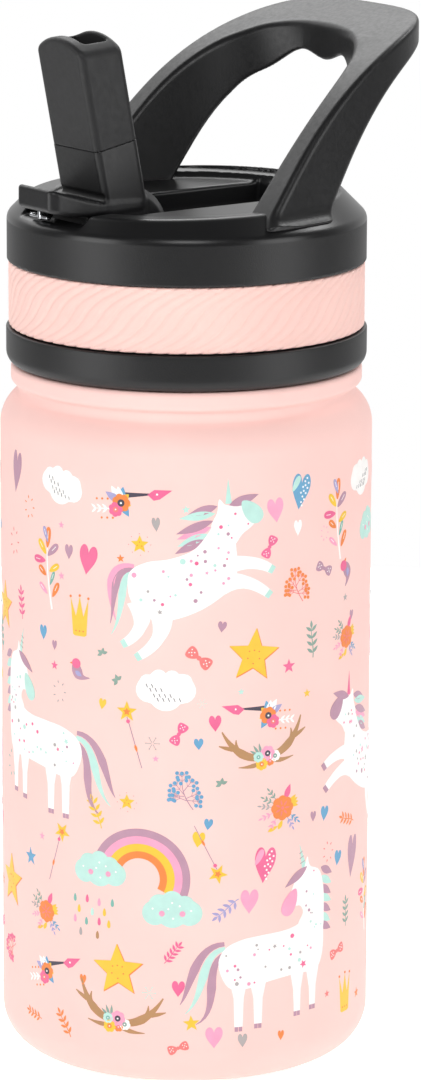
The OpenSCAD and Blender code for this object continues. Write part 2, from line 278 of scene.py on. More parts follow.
class Finish:
    """Small helper around the node tree of one material."""

    def __init__(self, name, code, roughness, specular=0.5, metallic=0.0):
        self.material = bpy.data.materials.new(name)
        self.material.use_nodes = True
        self.tree = self.material.node_tree
        self.shader = self.tree.nodes["Principled BSDF"]
        self.color = srgb(code)
        self.set("Base Color", self.color)
        self.set("Roughness", roughness)
        self.set("Specular IOR Level", specular)
        self.set("Metallic", metallic)
        self.place = self.node("ShaderNodeTexCoord").outputs["Object"]

    def set(self, socket, value):
        self.shader.inputs[socket].default_value = value

    def node(self, kind, **values):
        made = self.tree.nodes.new(kind)
        for key, value in values.items():
            if key in made.inputs:
                made.inputs[key].default_value = value
            else:
                setattr(made, key, value)
        return made

    def link(self, output, target):
        self.tree.links.new(output, target)

    def noise(self, size_mm, detail=2.0, stretch=(1, 1, 1)):
        """Noise of a feature size, from 0 to 1, as an output socket."""
        mapping = self.node("ShaderNodeMapping")
        mapping.inputs["Scale"].default_value = [s / (size_mm * MM) for s in stretch]
        self.link(self.place, mapping.inputs["Vector"])
        noise = self.node("ShaderNodeTexNoise", Scale=1.0, Detail=detail)
        self.link(mapping.outputs["Vector"], noise.inputs["Vector"])
        return noise.outputs["Fac"]

    def spread(self, source, low, high, start=0.3, end=0.7):
        """Maps a 0 to 1 socket onto a range."""
        ramp = self.node("ShaderNodeMapRange")
        for key, value in (("From Min", start), ("From Max", end),
                           ("To Min", low), ("To Max", high)):
            ramp.inputs[key].default_value = value
        self.link(source, ramp.inputs["Value"])
        return ramp.outputs["Result"]

    def vary_color(self, size_mm, amount):
        """Uneven colour: mixes in a darker tone by a soft noise."""
        mix = self.node("ShaderNodeMix", data_type="RGBA")
        mix.inputs[6].default_value = self.color
        mix.inputs[7].default_value = tuple(c * (1 - amount) for c in self.color[:3]) + (1.0,)
        self.link(self.spread(self.noise(size_mm, 3.0), 0.0, 1.0), mix.inputs[0])
        self.link(mix.outputs[2], self.shader.inputs["Base Color"])

    def vary_roughness(self, size_mm, low, high):
        self.link(self.spread(self.noise(size_mm, 3.0), low, high), self.shader.inputs["Roughness"])

    def bump(self, size_mm, depth_mm, detail=2.0, stretch=(1, 1, 1)):
        """Adds relief of a feature size and depth."""
        relief = self.node("ShaderNodeBump", Strength=1.0, Distance=depth_mm * MM)
        self.link(self.noise(size_mm, detail, stretch), relief.inputs["Height"])
        self.link(relief.outputs["Normal"], self.shader.inputs["Normal"])


def finish(name, code, roughness, specular=0.5, metallic=0.0, tone=None, gloss=None, relief=None,
           sockets=()):
    """Material with uneven tone (size, amount), roughness (size, low, high) and relief
    (size, depth, detail, stretch), and with other shader sockets set to constants."""
    made = Finish(name, code, roughness, specular, metallic)
    for socket, value in sockets:
        made.set(socket, value)
    if tone:
        made.vary_color(*tone)
    made.vary_roughness(*gloss)
    if relief:
        made.bump(*relief)
    return made.material


def powder_coat():
    return finish("powder_coat_pink", "FCD2CB", 0.55, 0.16, tone=(14, 0.035),
                  gloss=(1.2, 0.5, 0.62), relief=(0.5, 0.012))


def ink(name, code):
    """Screen-printed ink: a little glossier than the powder coat, slightly uneven."""
    return finish("ink_" + name, code, 0.42, 0.4, tone=(2.2, 0.07), gloss=(0.6, 0.38, 0.5),
                  relief=(0.35, 0.008))


def black_plastic(name, roughness, grain_mm, grain_depth_mm, code="171718"):
    """Moulded plastic with the fine relief of a spark-eroded mould."""
    return finish(name, code, roughness, tone=(6, 0.12),
                  gloss=(0.8, roughness - 0.04, roughness + 0.05),
                  relief=(grain_mm, grain_depth_mm, 3.0))


def lid_plastic(wall_top_mm):
    """Black plastic, spark-eroded on the upright walls and smooth above them."""
    made = Finish("plastic_black_lid", "171718", 0.45)
    made.vary_color(6, 0.12)
    parts = made.node("ShaderNodeSeparateXYZ")
    made.link(made.place, parts.inputs["Vector"])
    wall = made.spread(parts.outputs["Z"], 1.0, 0.0, wall_top_mm * MM, (wall_top_mm + 0.3) * MM)
    made.link(made.spread(wall, 0.3, 0.46, 0.0, 1.0), made.shader.inputs["Roughness"])
    relief = made.node("ShaderNodeBump", Distance=0.03 * MM)
    made.link(made.spread(wall, 0.12, 1.0, 0.0, 1.0), relief.inputs["Strength"])
    made.link(made.noise(0.3, 3.0), relief.inputs["Height"])
    made.link(relief.outputs["Normal"], made.shader.inputs["Normal"])
    return made.material


def black_silicone():
    return finish("silicone_black", "1D1D1E", 0.46, 0.45, tone=(5, 0.1), gloss=(1.5, 0.46, 0.56),
                  relief=(0.6, 0.006), sockets=[("Sheen Weight", 0.06)])


def pink_silicone():
    soft = [("Subsurface Weight", 0.08), ("Subsurface Radius", (0.002, 0.0012, 0.001)),
            ("Subsurface Scale", 0.5)]
    return finish("silicone_pink", "F9CFC6", 0.6, 0.3, tone=(9, 0.03), gloss=(1.0, 0.58, 0.68),
                  relief=(0.4, 0.006), sockets=soft)


def clear_silicone():
    return finish("silicone_clear", "E6E9EA", 0.35, 0.4, gloss=(1.0, 0.3, 0.42),
                  relief=(0.8, 0.01), sockets=[("Transmission Weight", 0.45), ("IOR", 1.41)])


def straw_plastic():
    return finish("straw_plastic", "EDF0F2", 0.3, 0.45, gloss=(2.0, 0.26, 0.36),
                  relief=(1.5, 0.006, 2.0, (1, 1, 0.1)), sockets=[("Transmission Weight", 0.4)])


def steel(name, code, roughness, stretch):
    """Stainless steel with fine marks drawn out along one way."""
    return finish(name, code, roughness, metallic=1.0, tone=(8, 0.08),
                  gloss=(0.5, roughness - 0.06, roughness + 0.08),
                  relief=(0.12, 0.004, 2.0, stretch))


def catch_metal():
    return finish("catch_steel", "C9CBCE", 0.2, metallic=1.0, gloss=(0.7, 0.12, 0.24),
                  relief=(0.5, 0.01))


LID_PLASTIC = lid_plastic(166.1)
HANDLE_PLASTIC = black_plastic("plastic_black_handle", 0.38, 0.22, 0.007)
SPOUT_PLASTIC = black_plastic("plastic_black_spout", 0.4, 0.25, 0.009, "1A1A1B")
COAT = powder_coat()
BARE_STEEL = steel("steel_bare", "B9BABC", 0.3, (1, 1, 0.05))
PIN_STEEL = steel("steel_pin", "C6C7C9", 0.22, (0.05, 1, 1))
GETTER_METAL = steel("getter_metal", "5A5A5E", 0.6, (1, 1, 1))
CLEAR = clear_silicone()


# ---------------------------------------------------------------- camera, light and floor
def aim(thing, target):
    thing.rotation_euler = (Vector(target) - thing.location).to_track_quat("-Z", "Y").to_euler()


def add_camera():
    data = bpy.data.cameras.new("camera")
    data.lens = 172.6
    data.sensor_width = 36
    data.shift_x = 0.0227
    data.clip_start = 0.05
    camera = bpy.data.objects.new("camera", data)
    bpy.context.scene.collection.objects.link(camera)
    camera.location = (0.80471, -0.58466, 0.32737)
    aim(camera, (0, 0, 0.10189))
    camera.rotation_euler.rotate_axis("Z", math.radians(0.15))
    bpy.context.scene.camera = camera


def add_softbox(name, direction, distance, width, height, radiance, mirrored_in_gloss=True):
    """Rectangular light aimed at the middle of the bottle. Direction is azimuth and elevation."""
    data = bpy.data.lights.new(name, "AREA")
    data.shape = "RECTANGLE"
    data.size, data.size_y = width, height
    data.energy = radiance * math.pi * width * height
    lamp = bpy.data.objects.new(name, data)
    bpy.context.scene.collection.objects.link(lamp)
    azimuth, elevation = (math.radians(a) for a in direction)
    middle = Vector((0, 0, 0.11))
    lamp.location = middle + distance * Vector((
        math.sin(azimuth) * math.cos(elevation), -math.cos(azimuth) * math.cos(elevation),
        math.sin(elevation)))
    aim(lamp, middle)
    lamp.visible_camera = False
    lamp.visible_glossy = mirrored_in_gloss


def add_world():
    """White to the camera; to the object, a room that is bright behind it and dim in front."""
    world = bpy.data.worlds.new("studio")
    bpy.context.scene.world = world
    world.use_nodes = True
    tree = world.node_tree
    tree.nodes.clear()
    make = tree.nodes.new
    path, place, dot, ramp = (make(k) for k in (
        "ShaderNodeLightPath", "ShaderNodeTexCoord", "ShaderNodeVectorMath", "ShaderNodeMapRange"))
    room, white, mix, out = (make(k) for k in (
        "ShaderNodeBackground", "ShaderNodeBackground", "ShaderNodeMixShader",
        "ShaderNodeOutputWorld"))
    dot.operation = "DOT_PRODUCT"
    azimuth = math.radians(54)
    dot.inputs[1].default_value = (-math.sin(azimuth), math.cos(azimuth), 0.1)
    for key, value in (("From Min", 0.1), ("From Max", 0.85), ("To Min", 0.05), ("To Max", 0.8)):
        ramp.inputs[key].default_value = value
    white.inputs["Strength"].default_value = 1.0
    for background in (room, white):
        background.inputs["Color"].default_value = (1, 1, 1, 1)
    links = tree.links.new
    links(place.outputs["Generated"], dot.inputs[0])
    links(dot.outputs["Value"], ramp.inputs["Value"])
    links(ramp.outputs["Result"], room.inputs["Strength"])
    links(path.outputs["Is Camera Ray"], mix.inputs[0])
    links(room.outputs[0], mix.inputs[1])
    links(white.outputs[0], mix.inputs[2])
    links(mix.outputs[0], out.inputs["Surface"])


def add_floor():
    """Round white table top, small enough for the softboxes to show past its edge."""
    radius, steps, height = 0.42, 64, -0.0002
    turns = np.arange(steps) * 2 * math.pi / steps
    rim = [(radius * math.cos(t), radius * math.sin(t), height) for t in turns]
    mesh = bpy.data.meshes.new("floor")
    mesh.from_pydata(rim, [], [list(range(steps))])
    floor = bpy.data.objects.new("floor", mesh)
    bpy.context.scene.collection.objects.link(floor)
    glow = [("Emission Color", (1, 1, 1, 1)), ("Emission Strength", 0.5)]
    white = finish("floor_white", "F4F4F4", 0.7, 0.2, gloss=(40, 0.65, 0.75), sockets=glow)
    mesh.materials.append(white)


def add_studio():
    bpy.context.scene.view_settings.view_transform = "Standard"
    add_camera()
    add_world()
    add_softbox("softbox_left", (-6, 0), 1.3, 0.75, 1.5, 3.1)
    add_softbox("softbox_right", (115, 0), 1.3, 0.7, 1.5, 2.7)
    add_softbox("front_above", (54, 38), 1.4, 0.5, 0.5, 5.0)
    add_softbox("front_fill", (54, 35), 0.45, 0.3, 0.3, 2.0, False)
    add_softbox("left_above", (-76, 37), 1.3, 0.7, 0.5, 1.6)
    add_softbox("above_behind", (234, 42), 1.3, 1.1, 0.7, 2.4)
    add_softbox("rim_strip", (178, 46), 1.2, 0.25, 0.35, 9.0)
    add_floor()


add_studio()


# ---------------------------------------------------------------- bottle
FOOT_R, FOOT_DEPTH, STEEL_T = 24.0, 2.6, 0.6
CORNER_R = 8.3
STRAIGHT_TOP = 126.0
SHOULDER_R, SHOULDER_END = 7.5, 52     # the shoulder turns in by 52 degrees
BEAD_R = 34.3
BEAD_Z, BEAD_ROUND = 135.3, 1.2
LEDGE_Z = 138.0
NECK_R = 27.6


def add_outer_shell():
    """Spun outer wall: foot ring, straight wall, shoulder, groove, bead, ledge and neck."""
    top = SHELL_HIGH[2]
    wall_in = BODY_R - STEEL_T
    shoulder_c = (BODY_R - SHOULDER_R, STRAIGHT_TOP)
    shoulder = arc(shoulder_c, SHOULDER_R, 0, SHOULDER_END, 16)
    s = shoulder[-1]
    bead_start = arc((BEAD_R - BEAD_ROUND, BEAD_Z), BEAD_ROUND, -70, -70, 1)[0]
    groove = bezier(s, (s[0] - 0.62, s[1] + 0.5),
                    (bead_start[0] - 0.6, bead_start[1] - 0.22), bead_start, 10)
    wall = [(BODY_R, z) for z in np.linspace(CORNER_R, STRAIGHT_TOP, 24)[1:-1]]
    outside = ([(FOOT_R, FOOT_DEPTH), (FOOT_R, 0.5)] + arc((FOOT_R + 0.5, 0.5), 0.5, 180, 270, 5)
               + arc((BODY_R - CORNER_R, CORNER_R), CORNER_R, -90, 0, 26) + wall
               + shoulder + groove[1:-1]
               + arc((BEAD_R - BEAD_ROUND, BEAD_Z), BEAD_ROUND, -70, 0, 10)
               + arc((BEAD_R - 1, LEDGE_Z - 1), 1, 0, 90, 8)
               + arc((NECK_R + 0.6, LEDGE_Z + 0.6), 0.6, 270, 180, 6)
               + arc((NECK_R - 0.3, top - 0.3), 0.3, 0, 90, 4))
    inside = ([(NECK_R - STEEL_T, top), (NECK_R - STEEL_T, LEDGE_Z - STEEL_T),
               (32.6, LEDGE_Z - STEEL_T), (32.4, 133)]
              + arc(shoulder_c, SHOULDER_R - STEEL_T, SHOULDER_END, 0, 8)
              + arc((wall_in - CORNER_R, CORNER_R + STEEL_T), CORNER_R, 0, -90, 10)
              + [(FOOT_R + STEEL_T, STEEL_T), (FOOT_R + STEEL_T, FOOT_DEPTH)])
    vertices, faces = lathe(outside + inside, 288)
    new_piece("bottle_shell", vertices, faces, "bottle", COAT, ["outer_shell"],
              sharp=50)


def add_neck_thread():
    """Rolled thread on the neck: a rounded ridge that runs in and out at its ends."""
    lead, turns, steps = 4.0, 1.25, 180
    half, height = 0.8, 1.25
    section = arc((0, 0), half, -90, 90, 8)
    vertices, faces = [], []
    for i in range(steps + 1):
        t = i / steps
        angle = 2 * math.pi * turns * t
        z = LEDGE_Z + 3.5 + lead * turns * t
        size = min(1.0, 8 * t + 0.05, 8 * (1 - t) + 0.05)
        for out, up in section:
            r = NECK_R - 0.2 + (out / half * height) * size
            vertices.append((r * math.cos(angle), r * math.sin(angle), z + up * size))
    n = len(section)
    for i in range(steps):
        for k in range(n):
            a, b = i * n + k, i * n + (k + 1) % n
            faces.append((a, a + n, b + n, b))
    faces += [tuple(range(n)), tuple(steps * n + k for k in reversed(range(n)))]
    new_piece("neck_thread", vertices, faces, "bottle", COAT, sharp=60)


add_outer_shell()
add_neck_thread()


# ---------------------------------------------------------------- printed pattern
INKS = {"white": "FFFBF8", "mauve": "BC92A6", "rose": "EE6C98", "blush": "FBA6C4",
        "mint": "BFE7DD", "teal": "7DB7AC", "blue": "6AA6CC", "grey": "B3ABAA", "ink": "4C4654",
        "yellow": "F5C83F", "orange": "F18A45", "coral": "F0817E", "brown": "B98C60",
        "lavender": "ABA5D0", "sage": "8DA79B"}
PRINT_MIDDLE = math.radians(-36)      # body angle at the middle of the pattern's front
STRIP = math.radians(2.5) * BODY_R    # width of the flat strips the pattern is bent along
LAYER_T = 0.026
shapes = {name: [] for name in INKS}


def disc(x, y, r, steps=12):
    angles = np.arange(steps) * 2 * math.pi / steps
    return [(x + r * math.cos(a), y + r * math.sin(a)) for a in angles]


def turned(points, degrees, x=0, y=0):
    """Points turned about the origin, then moved."""
    c, s = math.cos(math.radians(degrees)), math.sin(math.radians(degrees))
    return [(x + c * px - s * py, y + s * px + c * py) for px, py in points]


def leaf(x, y, length, width, degrees):
    """Pointed leaf growing from (x, y)."""
    half = [(length * t, width / 2 * math.sin(math.pi * t ** 0.85)) for t in np.linspace(0, 1, 9)]
    return turned(half[:-1] + [(px, -py) for px, py in reversed(half[1:])], degrees, x, y)


def drop(x, y, length, width, degrees):
    """Drop, pointed at (x, y) and round at its far end."""
    half = [(length * (1 - math.cos(math.pi * t)) / 2,
             width / 2 * math.sin(math.pi * t) * (0.45 + 0.75 * t))
            for t in np.linspace(0, 1, 11)]
    return turned(half[:-1] + [(px, -py) for px, py in reversed(half[1:])], degrees, x, y)


def star(x, y, r, inner=0.46, points=5, degrees=0):
    """Star with a point upwards."""
    radii = [r, r * inner] * points
    spokes = [(q * math.sin(math.pi * k / points), q * math.cos(math.pi * k / points)) for k,
              q in enumerate(radii)]
    return turned(spokes[::-1], degrees, x, y)


def heart(x, y, width, height, degrees=0):
    right = bezier((0, -0.5), (0.15, -0.3), (0.6, 0), (0.5, 0.3), 7)[:-1] \
        + bezier((0.5, 0.3), (0.42, 0.58), (0.08, 0.56), (0, 0.24), 7)
    loop = right[:-1] + [(0, 0.24)] + [(-px, py) for px, py in reversed(right[1:-1])]
    return turned([(px * width, py * height) for px, py in loop], degrees, x, y)


def puffs(discs, steps=44):
    """Outline round a group of discs that all reach over the origin's surroundings."""
    loop = []
    for angle in np.arange(steps) * 2 * math.pi / steps:
        c, s = math.cos(angle), math.sin(angle)
        reach = 0
        for x, y, r in discs:
            along, off = x * c + y * s, -x * s + y * c
            if abs(off) < r:
                reach = max(reach, along + math.sqrt(r * r - off * off))
        loop.append((reach * c, reach * s))
    return loop


def ribbon(points, start, middle, end, steps=14):
    """Brush stroke along a cubic curve, with its width at the start, middle and end."""
    path = np.array(bezier(*points, steps)) if len(points) == 4 else np.array(points, float)
    t = np.linspace(0, 1, len(path))
    width = np.interp(t, [0, 0.5, 1], [start, middle, end]) / 2
    along = np.gradient(path, axis=0)
    along /= np.linalg.norm(along, axis=1)[:, None]
    side = np.stack([-along[:, 1], along[:, 0]], 1) * width[:, None]
    return [tuple(p) for p in path - side] + [tuple(p) for p in (path + side)[::-1]]


class Spot:
    """Place of one motif, whose shapes are given in millimetres round its own origin.

    A negative size mirrors the motif."""

    def __init__(self, turn, z, size=1, tilt=0):
        self.s, self.z, self.size, self.tilt = math.radians(turn) * BODY_R, z, size, tilt
        self.count = 0

    def fill(self, ink, outline, layer=1):
        scaled = [(x * self.size, y * abs(self.size)) for x, y in outline]
        # Shapes of one layer sit at slightly different heights, so that none share a surface
        self.count += 1
        lift = 0.1 * (self.count % 7)
        shapes[ink].append((layer + lift, turned(scaled, self.tilt, self.s, self.z)))

    def fills(self, ink, outlines, layer=1):
        for outline in outlines:
            self.fill(ink, outline, layer)

    def dots(self, ink, places, r, steps=12, layer=1):
        self.fills(ink, [disc(x, y, r, steps) for x, y in places], layer)


dice = np.random.default_rng(7)


def speckle(spot, outline, count, inks, low, high, layer=3, margin=0.5):
    """Small dots and stars strewn inside an outline."""
    loop = np.array(outline)
    placed = []
    for _ in range(count * 12):
        x, y = dice.uniform(loop.min(0), loop.max(0))
        r = dice.uniform(low, high) * (1 if dice.random() < 0.75 else 1.6)
        clear = all(math.hypot(x - a, y - b) > r + q + 0.35 for a, b, q in placed)
        if clear and outline_distance(np.array(x), np.array(y), outline) < -r - margin:
            placed.append((x, y, r))
            if dice.random() < 0.16:
                shape = star(x, y, r * 1.7, 0.45, 5, dice.uniform(0, 72))
            else:
                shape = disc(x, y, r, 10)
            spot.fill(inks[int(dice.integers(len(inks)))], shape, layer)
        if len(placed) == count:
            break


STANDING_BODY = [(0.2, 14), (1.4, 17.4), (5, 19.2), (10, 19.8), (15, 20.1), (18.6, 21.2),
                 (20.2, 24), (24.3, 24), (25, 18), (24.6, 13), (22.6, 10.4), (17, 10.4), (11, 9.8),
                 (6, 8.8), (2.2, 9.4)]
STANDING_HEAD = [(18, 20.6), (19.2, 23), (18.4, 24.6), (16, 25), (16.2, 28), (17.8, 31),
                 (19.4, 32.4), (20.3, 34.6), (21, 32.6), (23.6, 31.2), (24.9, 27.6), (25.1, 22),
                 (24.6, 18.5), (20, 18)]
LEAPING_BODY = [(-11.2, 0), (-10.8, 3.6), (-7.5, 5.6), (-3, 6.4), (1.5, 8.2), (4.6, 12),
                (6.2, 15.2), (9, 14), (9.6, 9), (9.9, 5), (9.3, 1.3), (6, -1.7), (2, -4),
                (-3, -5.6), (-7, -5.2), (-10, -3)]
LEAPING_HEAD = [(4.8, 12.3), (5.9, 15.3), (6.3, 17.9), (7.6, 16.8), (10.5, 16.5), (13, 16.2),
                (14.2, 14.6), (13, 12.6), (10.9, 11), (9.3, 9), (7, 9)]


def standing_horse(spot, muzzle="blush", mane=("mauve", "mint")):
    """Spotted horse with a horn, standing with its head turned back."""
    body, head = smooth_loop(STANDING_BODY, 5), smooth_loop(STANDING_HEAD, 5)
    for tail, ink in (([(1.4, 18.6), (-5, 18.6), (-5.4, 9), (-7.6, 6)], "mauve"),
                      ([(1.6, 17.6), (-4, 17), (-2, 8), (-6.6, 4)], mane[1]),
                      ([(1.8, 16.6), (-3.6, 14.6), (1.2, 4.4), (-4.4, 1.8)], mane[0])):
        spot.fill(ink, ribbon(tail, 0.9, 1.9, 0.1))
    for k in range(7):
        y = 31.6 - 1.95 * k
        spot.fill(mane[k % 2], leaf(24.2 - 0.05 * k, y, 4, 1.7, -28 - 3 * (k % 3)))
    spot.fills("white", [body, head], 2)
    for x, top, foot, wide in ((4.4, 12, 0.9, 1.9), (8.6, 11.5, 1.2, 1.8),
                               (17.8, 12, 2.4, 1.7), (21.9, 12, 3, 1.7)):
        half = [(wide * 1.15, top), (wide * 0.56, top - 5), (wide * 0.46, foot)]
        other = [(x - a, y) for a, y in reversed(half)]
        spot.fill("white", [(x + a, y) for a, y in half] + other, 2)
        for a, b in ((x - 0.8, x - 0.06), (x + 0.06, x + 0.8)):
            spot.fill("mauve", [(a, foot - 1), (b, foot - 1), (b, foot + 0.1), (a, foot + 0.1)])
    spot.fill(muzzle, drop(17.3, 28.4, 6, 3.8, 243), 3)
    spot.fill("mauve", leaf(20.2, 32.6, 6.6, 1.7, 213), 3)
    spot.fill(mane[1], [(18.9, 32.2), (20.1, 32.7), (18.2, 37.6)])
    for k in range(3):
        line = [(18.4 - 0.1 * k, 33.4 + 1.05 * k), (19.6 - 0.3 * k, 33.9 + 1.05 * k)]
        spot.fill("grey", ribbon(line, 0.18, 0.18, 0.18), 2)
    speckle(spot, body, 30, ("mauve", "rose", "mint", "grey", "blush", "mint"), 0.17, 0.34)
    speckle(spot, head, 7, ("mauve", "rose", "mint"), 0.15, 0.28)


def leaping_horse(spot, muzzle="mint", horn="mint"):
    """Spotted horse with a horn, leaping, with its mane and tail blown back."""
    body, head = smooth_loop(LEAPING_BODY, 5), smooth_loop(LEAPING_HEAD, 5)
    for tail, ink in (([(-10, 4.6), (-15.6, 5.6), (-15.6, -1), (-13.6, -6.4)], "blush"),
                      ([(-10, 3.9), (-14.6, 4.2), (-13.6, -1), (-14.8, -6.9)], "mauve"),
                      ([(-10, 3.2), (-13.4, 3.4), (-11.4, -4), (-14.6, -9)], "mint")):
        spot.fill(ink, ribbon(tail, 0.9, 1.6, 0.1))
    for x, y, length, angle, ink in ((6, 16.6, 6, 196, "mauve"), (5.6, 15.2, 7, 188, "mint"),
                                     (5.2, 13.8, 7.6, 200, "mauve"), (4.8, 12.6, 7, 200, "blush"),
                                     (4.2, 11.3, 6.4, 203, "mint"), (3.4, 10.2, 6.2, 207, "mauve")):
        spot.fill(ink, leaf(x, y, length, 1.7, angle))
    spot.fills("white", [body, head], 2)
    for leg, w in (([(7, 4.6), (10, 5.8), (14, 5.6), (17, 3.6)], 3.8),
                   ([(7, 1.4), (10, 2.4), (13, 1.6), (16.4, -1.2)], 4.2),
                   ([(-9, -2), (-7.6, -6), (-9, -8.8), (-12, -10.6)], 5),
                   ([(-5, -3), (-3.4, -8), (-6, -11), (-9.2, -13)], 5)):
        spot.fill("white", ribbon(leg, w, 2.5, 1.7), 2)
        (x0, y0), (x1, y1) = leg[2], leg[3]
        aim_at = math.degrees(math.atan2(y1 - y0, x1 - x0))
        hoof = [(-0.5, -0.85), (0.5, -0.75), (0.5, 0.75), (-0.5, 0.85)]
        spot.fill(muzzle, turned(hoof, aim_at, x1, y1), 3)
    spot.fill(muzzle, drop(10.8, 17.4, 5.6, 4, -47), 3)
    spot.fill("mauve", leaf(8.2, 16.7, 6.2, 1.8, 17), 3)
    spot.fill(horn, [(7.5, 17), (8.8, 17), (8, 22)])
    speckle(spot, body, 32, ("mauve", "rose", "mint", "grey", "blush"), 0.17, 0.36)
    speckle(spot, head, 5, ("mauve", "rose", "mint"), 0.15, 0.25)


def white_cloud(spot):
    spot.fill("white", puffs([(0, -1, 3), (-3, -0.4, 2.2), (3, -0.4, 2.2), (-3.1, 0.9, 1.5),
                              (-1.2, 1.9, 1.4), (1.1, 1.8, 1.4), (3.1, 1.1, 1.5), (0, 0, 2.2)]))
    for row in range(4):
        for k in range(2 + row):
            x, y = -3.4 + 0.64 * row + 0.95 * k, 0.4 - 0.85 * row + 0.15 * (row % 2)
            if abs(x) + abs(y) < 4.6:
                spot.fill("ink", ribbon([(x, y + 0.3), (x + 0.26, y - 0.32)], 0.13, 0.17, 0.11), 2)


def mint_cloud(spot):
    spot.fill("mint", puffs([(0, -1, 2.9), (-3.2, -1.1, 2.4), (3.2, -1.1, 2.4), (-2.4, 0.6, 1.9),
                             (0, 1.3, 1.9), (2.3, 0.5, 1.8)], 56), 2)
    spot.dots("blush", [(-1.9, -1.2), (1.9, -1.2)], 0.55, layer=3)
    spot.dots("white", [(-3.6, -0.3), (0, 0.9), (0.2, -2.1), (3.5, -0.6), (-0.7, -0.3),
                        (1.4, 0.3)], 0.2, 8, 3)


def rainbow(spot):
    edges = [9.9, 8.4, 6.9, 5.4, 4]
    for outer, inner, ink in zip(edges, edges[1:], ("mauve", "blush", "yellow", "orange")):
        spot.fill(ink, arc((0, 0), outer, -28, 166, 40) + arc((0, 0), inner, 166, -28, 30))
    mint_cloud(Spot(math.degrees((spot.s - 8.3) / BODY_R), spot.z + 1.4, 1))
    mint_cloud(Spot(math.degrees((spot.s + 6.4) / BODY_R), spot.z - 5.6, 1.05))


def rain(spot):
    inks = ("teal", "rose", "blush", "teal", "yellow", "mint", "yellow", "blush", "teal", "rose",
            "yellow", "grey", "brown")
    places = [(-4.6, 2.4), (-1.6, 2.6), (1.2, 2.2), (4.2, 2.4), (-3.6, 0.2), (-0.4, 0), (2.4, 0.2),
              (-4.6, -2), (-1.8, -2.2), (1.2, -1.9), (3.4, -2.2), (-3.2, -4.6), (0.8, -4.8)]
    for ink, (x, y) in zip(inks, places):
        spot.fill(ink, drop(x, y, 1.7, 0.85, 270))


def big_star(spot):
    spot.fill("orange", star(0.12, -0.14, 5.5, 0.45))
    spot.fill("yellow", star(0, 0, 5.35, 0.44), 2)
    spot.dots("orange", [(-1.2, -0.6), (1.2, -0.6), (0, 1), (0, -1.6), (-1, 0.8), (1, 0.8)],
              0.16, 8, 3)


def small_star(spot, ink="yellow"):
    spot.fill(ink, star(0, 0, 1, 0.42))


def dotted_star(spot):
    spot.fill("yellow", star(0, 0, 1.9, 0.46))
    spot.dots("orange", [(0, 0.5), (-0.5, -0.2), (0.45, -0.3)], 0.14, 7, 2)
    for k in range(8):
        spot.fill("coral", disc(2.3 * math.cos(k * 0.8), 2.2 * math.sin(k * 0.8), 0.1, 6))


def plain_heart(spot, ink="rose", width=3.6, height=5.4):
    spot.fill(ink, heart(0, 0, width, height, -8))


def dotted_heart(spot, ink="rose", light="blush"):
    spot.fill(ink, heart(0, 0, 4.4, 7.2, -7))
    spot.fill(light, drop(-2, 0.2, 3.4, 1.5, 62), 2)
    spot.dots("white", [(1.5, 2.6), (1.9, 1.6), (1.1, 1.2), (1.6, 0.6), (0.7, 0.1), (1.2, -0.4),
                        (0.4, -1), (0.8, -1.6), (0.1, -2.1), (0.3, -2.8), (1, 2), (0.5, 0.9),
                        (0, -0.2)], 0.22, 7, 2)


def crown(spot):
    spot.fill("yellow", [(-1.7, -4.3), (-1.2, -4.6), (1.2, -4.6), (1.7, -4.3), (2.2, 3.4),
                         (0.95, -0.4), (0.05, 3.8), (-0.95, -0.4), (-2.3, 3.4)])
    spot.dots("orange", [(-2.3, 3.7), (0.05, 4.1), (2.2, 3.7)], 0.3, 8, 2)
    spot.dots("orange", [(-0.9, -3.5), (0, -3.5), (0.9, -3.5)], 0.18, 7, 2)


def bow(spot, ink="rose"):
    for side in (-1, 1):
        wing = [(0.2, 0), (1.3, 1.1), (2.6, 1.2), (2.9, 0), (2.6, -1.2), (1.3, -1.1)]
        spot.fill(ink, smooth_loop([(side * x, y) for x, y in wing][::side], 4))
        dots = ((1.4, 0.4), (2.2, 0.6), (1.5, -0.4), (2.3, -0.3), (1.9, 0.05))
        spot.dots("white", [(side * x, y) for x, y in dots], 0.15, 6, 2)
    spot.fill(ink, disc(0, 0, 0.5, 10))


def wand(spot):
    spot.fill("mauve", ribbon([(0, -1), (1, -4), (1.9, -7.4), (3, -11)], 0.16, 0.18, 0.16))
    spot.fill("rose", disc(0.25, -1.9, 0.4, 8), 2)
    spot.fill("orange", leaf(1.6, -6.4, 1.6, 0.5, -72), 2)
    spot.fill("yellow", star(0, 0, 2.1, 0.42), 2)
    spot.fill("orange", star(0, 0, 0.8, 0.5), 3)


def little_bird(spot):
    spot.fill("mauve", smooth_loop([(-2, 1.4), (-2.3, -0.2), (-1.4, -1.9), (0.4, -2.3), (2.9, -1.6),
                                    (1.2, -1.1), (0.6, 0.3), (-0.4, 1.6)], 5))
    spot.fill("rose", disc(-1, 1.6, 1.25, 14), 2)
    spot.fill("lavender", leaf(-1.3, -0.3, 2.2, 1.2, -30), 2)
    spot.fill("orange", [(-2.2, 1.9), (-3, 1.5), (-2.2, 1.3)], 2)


def sprig(spot, ink="sage", pairs=4, length=6):
    """Stem with pairs of leaves."""
    stem = [(0, -length / 2), (0.4, -length / 6), (-0.3, length / 6), (0, length / 2)]
    spot.fill(ink, ribbon(stem, 0.2, 0.22, 0.12))
    for k in range(pairs):
        y = -length / 2 + length * (k + 0.7) / (pairs + 0.4)
        for side in (-1, 1):
            spot.fill(ink, leaf(0, y, 1.7, 0.62, 90 - side * 52))
    spot.fill(ink, leaf(0, length / 2 - 0.4, 1.5, 0.6, 90))


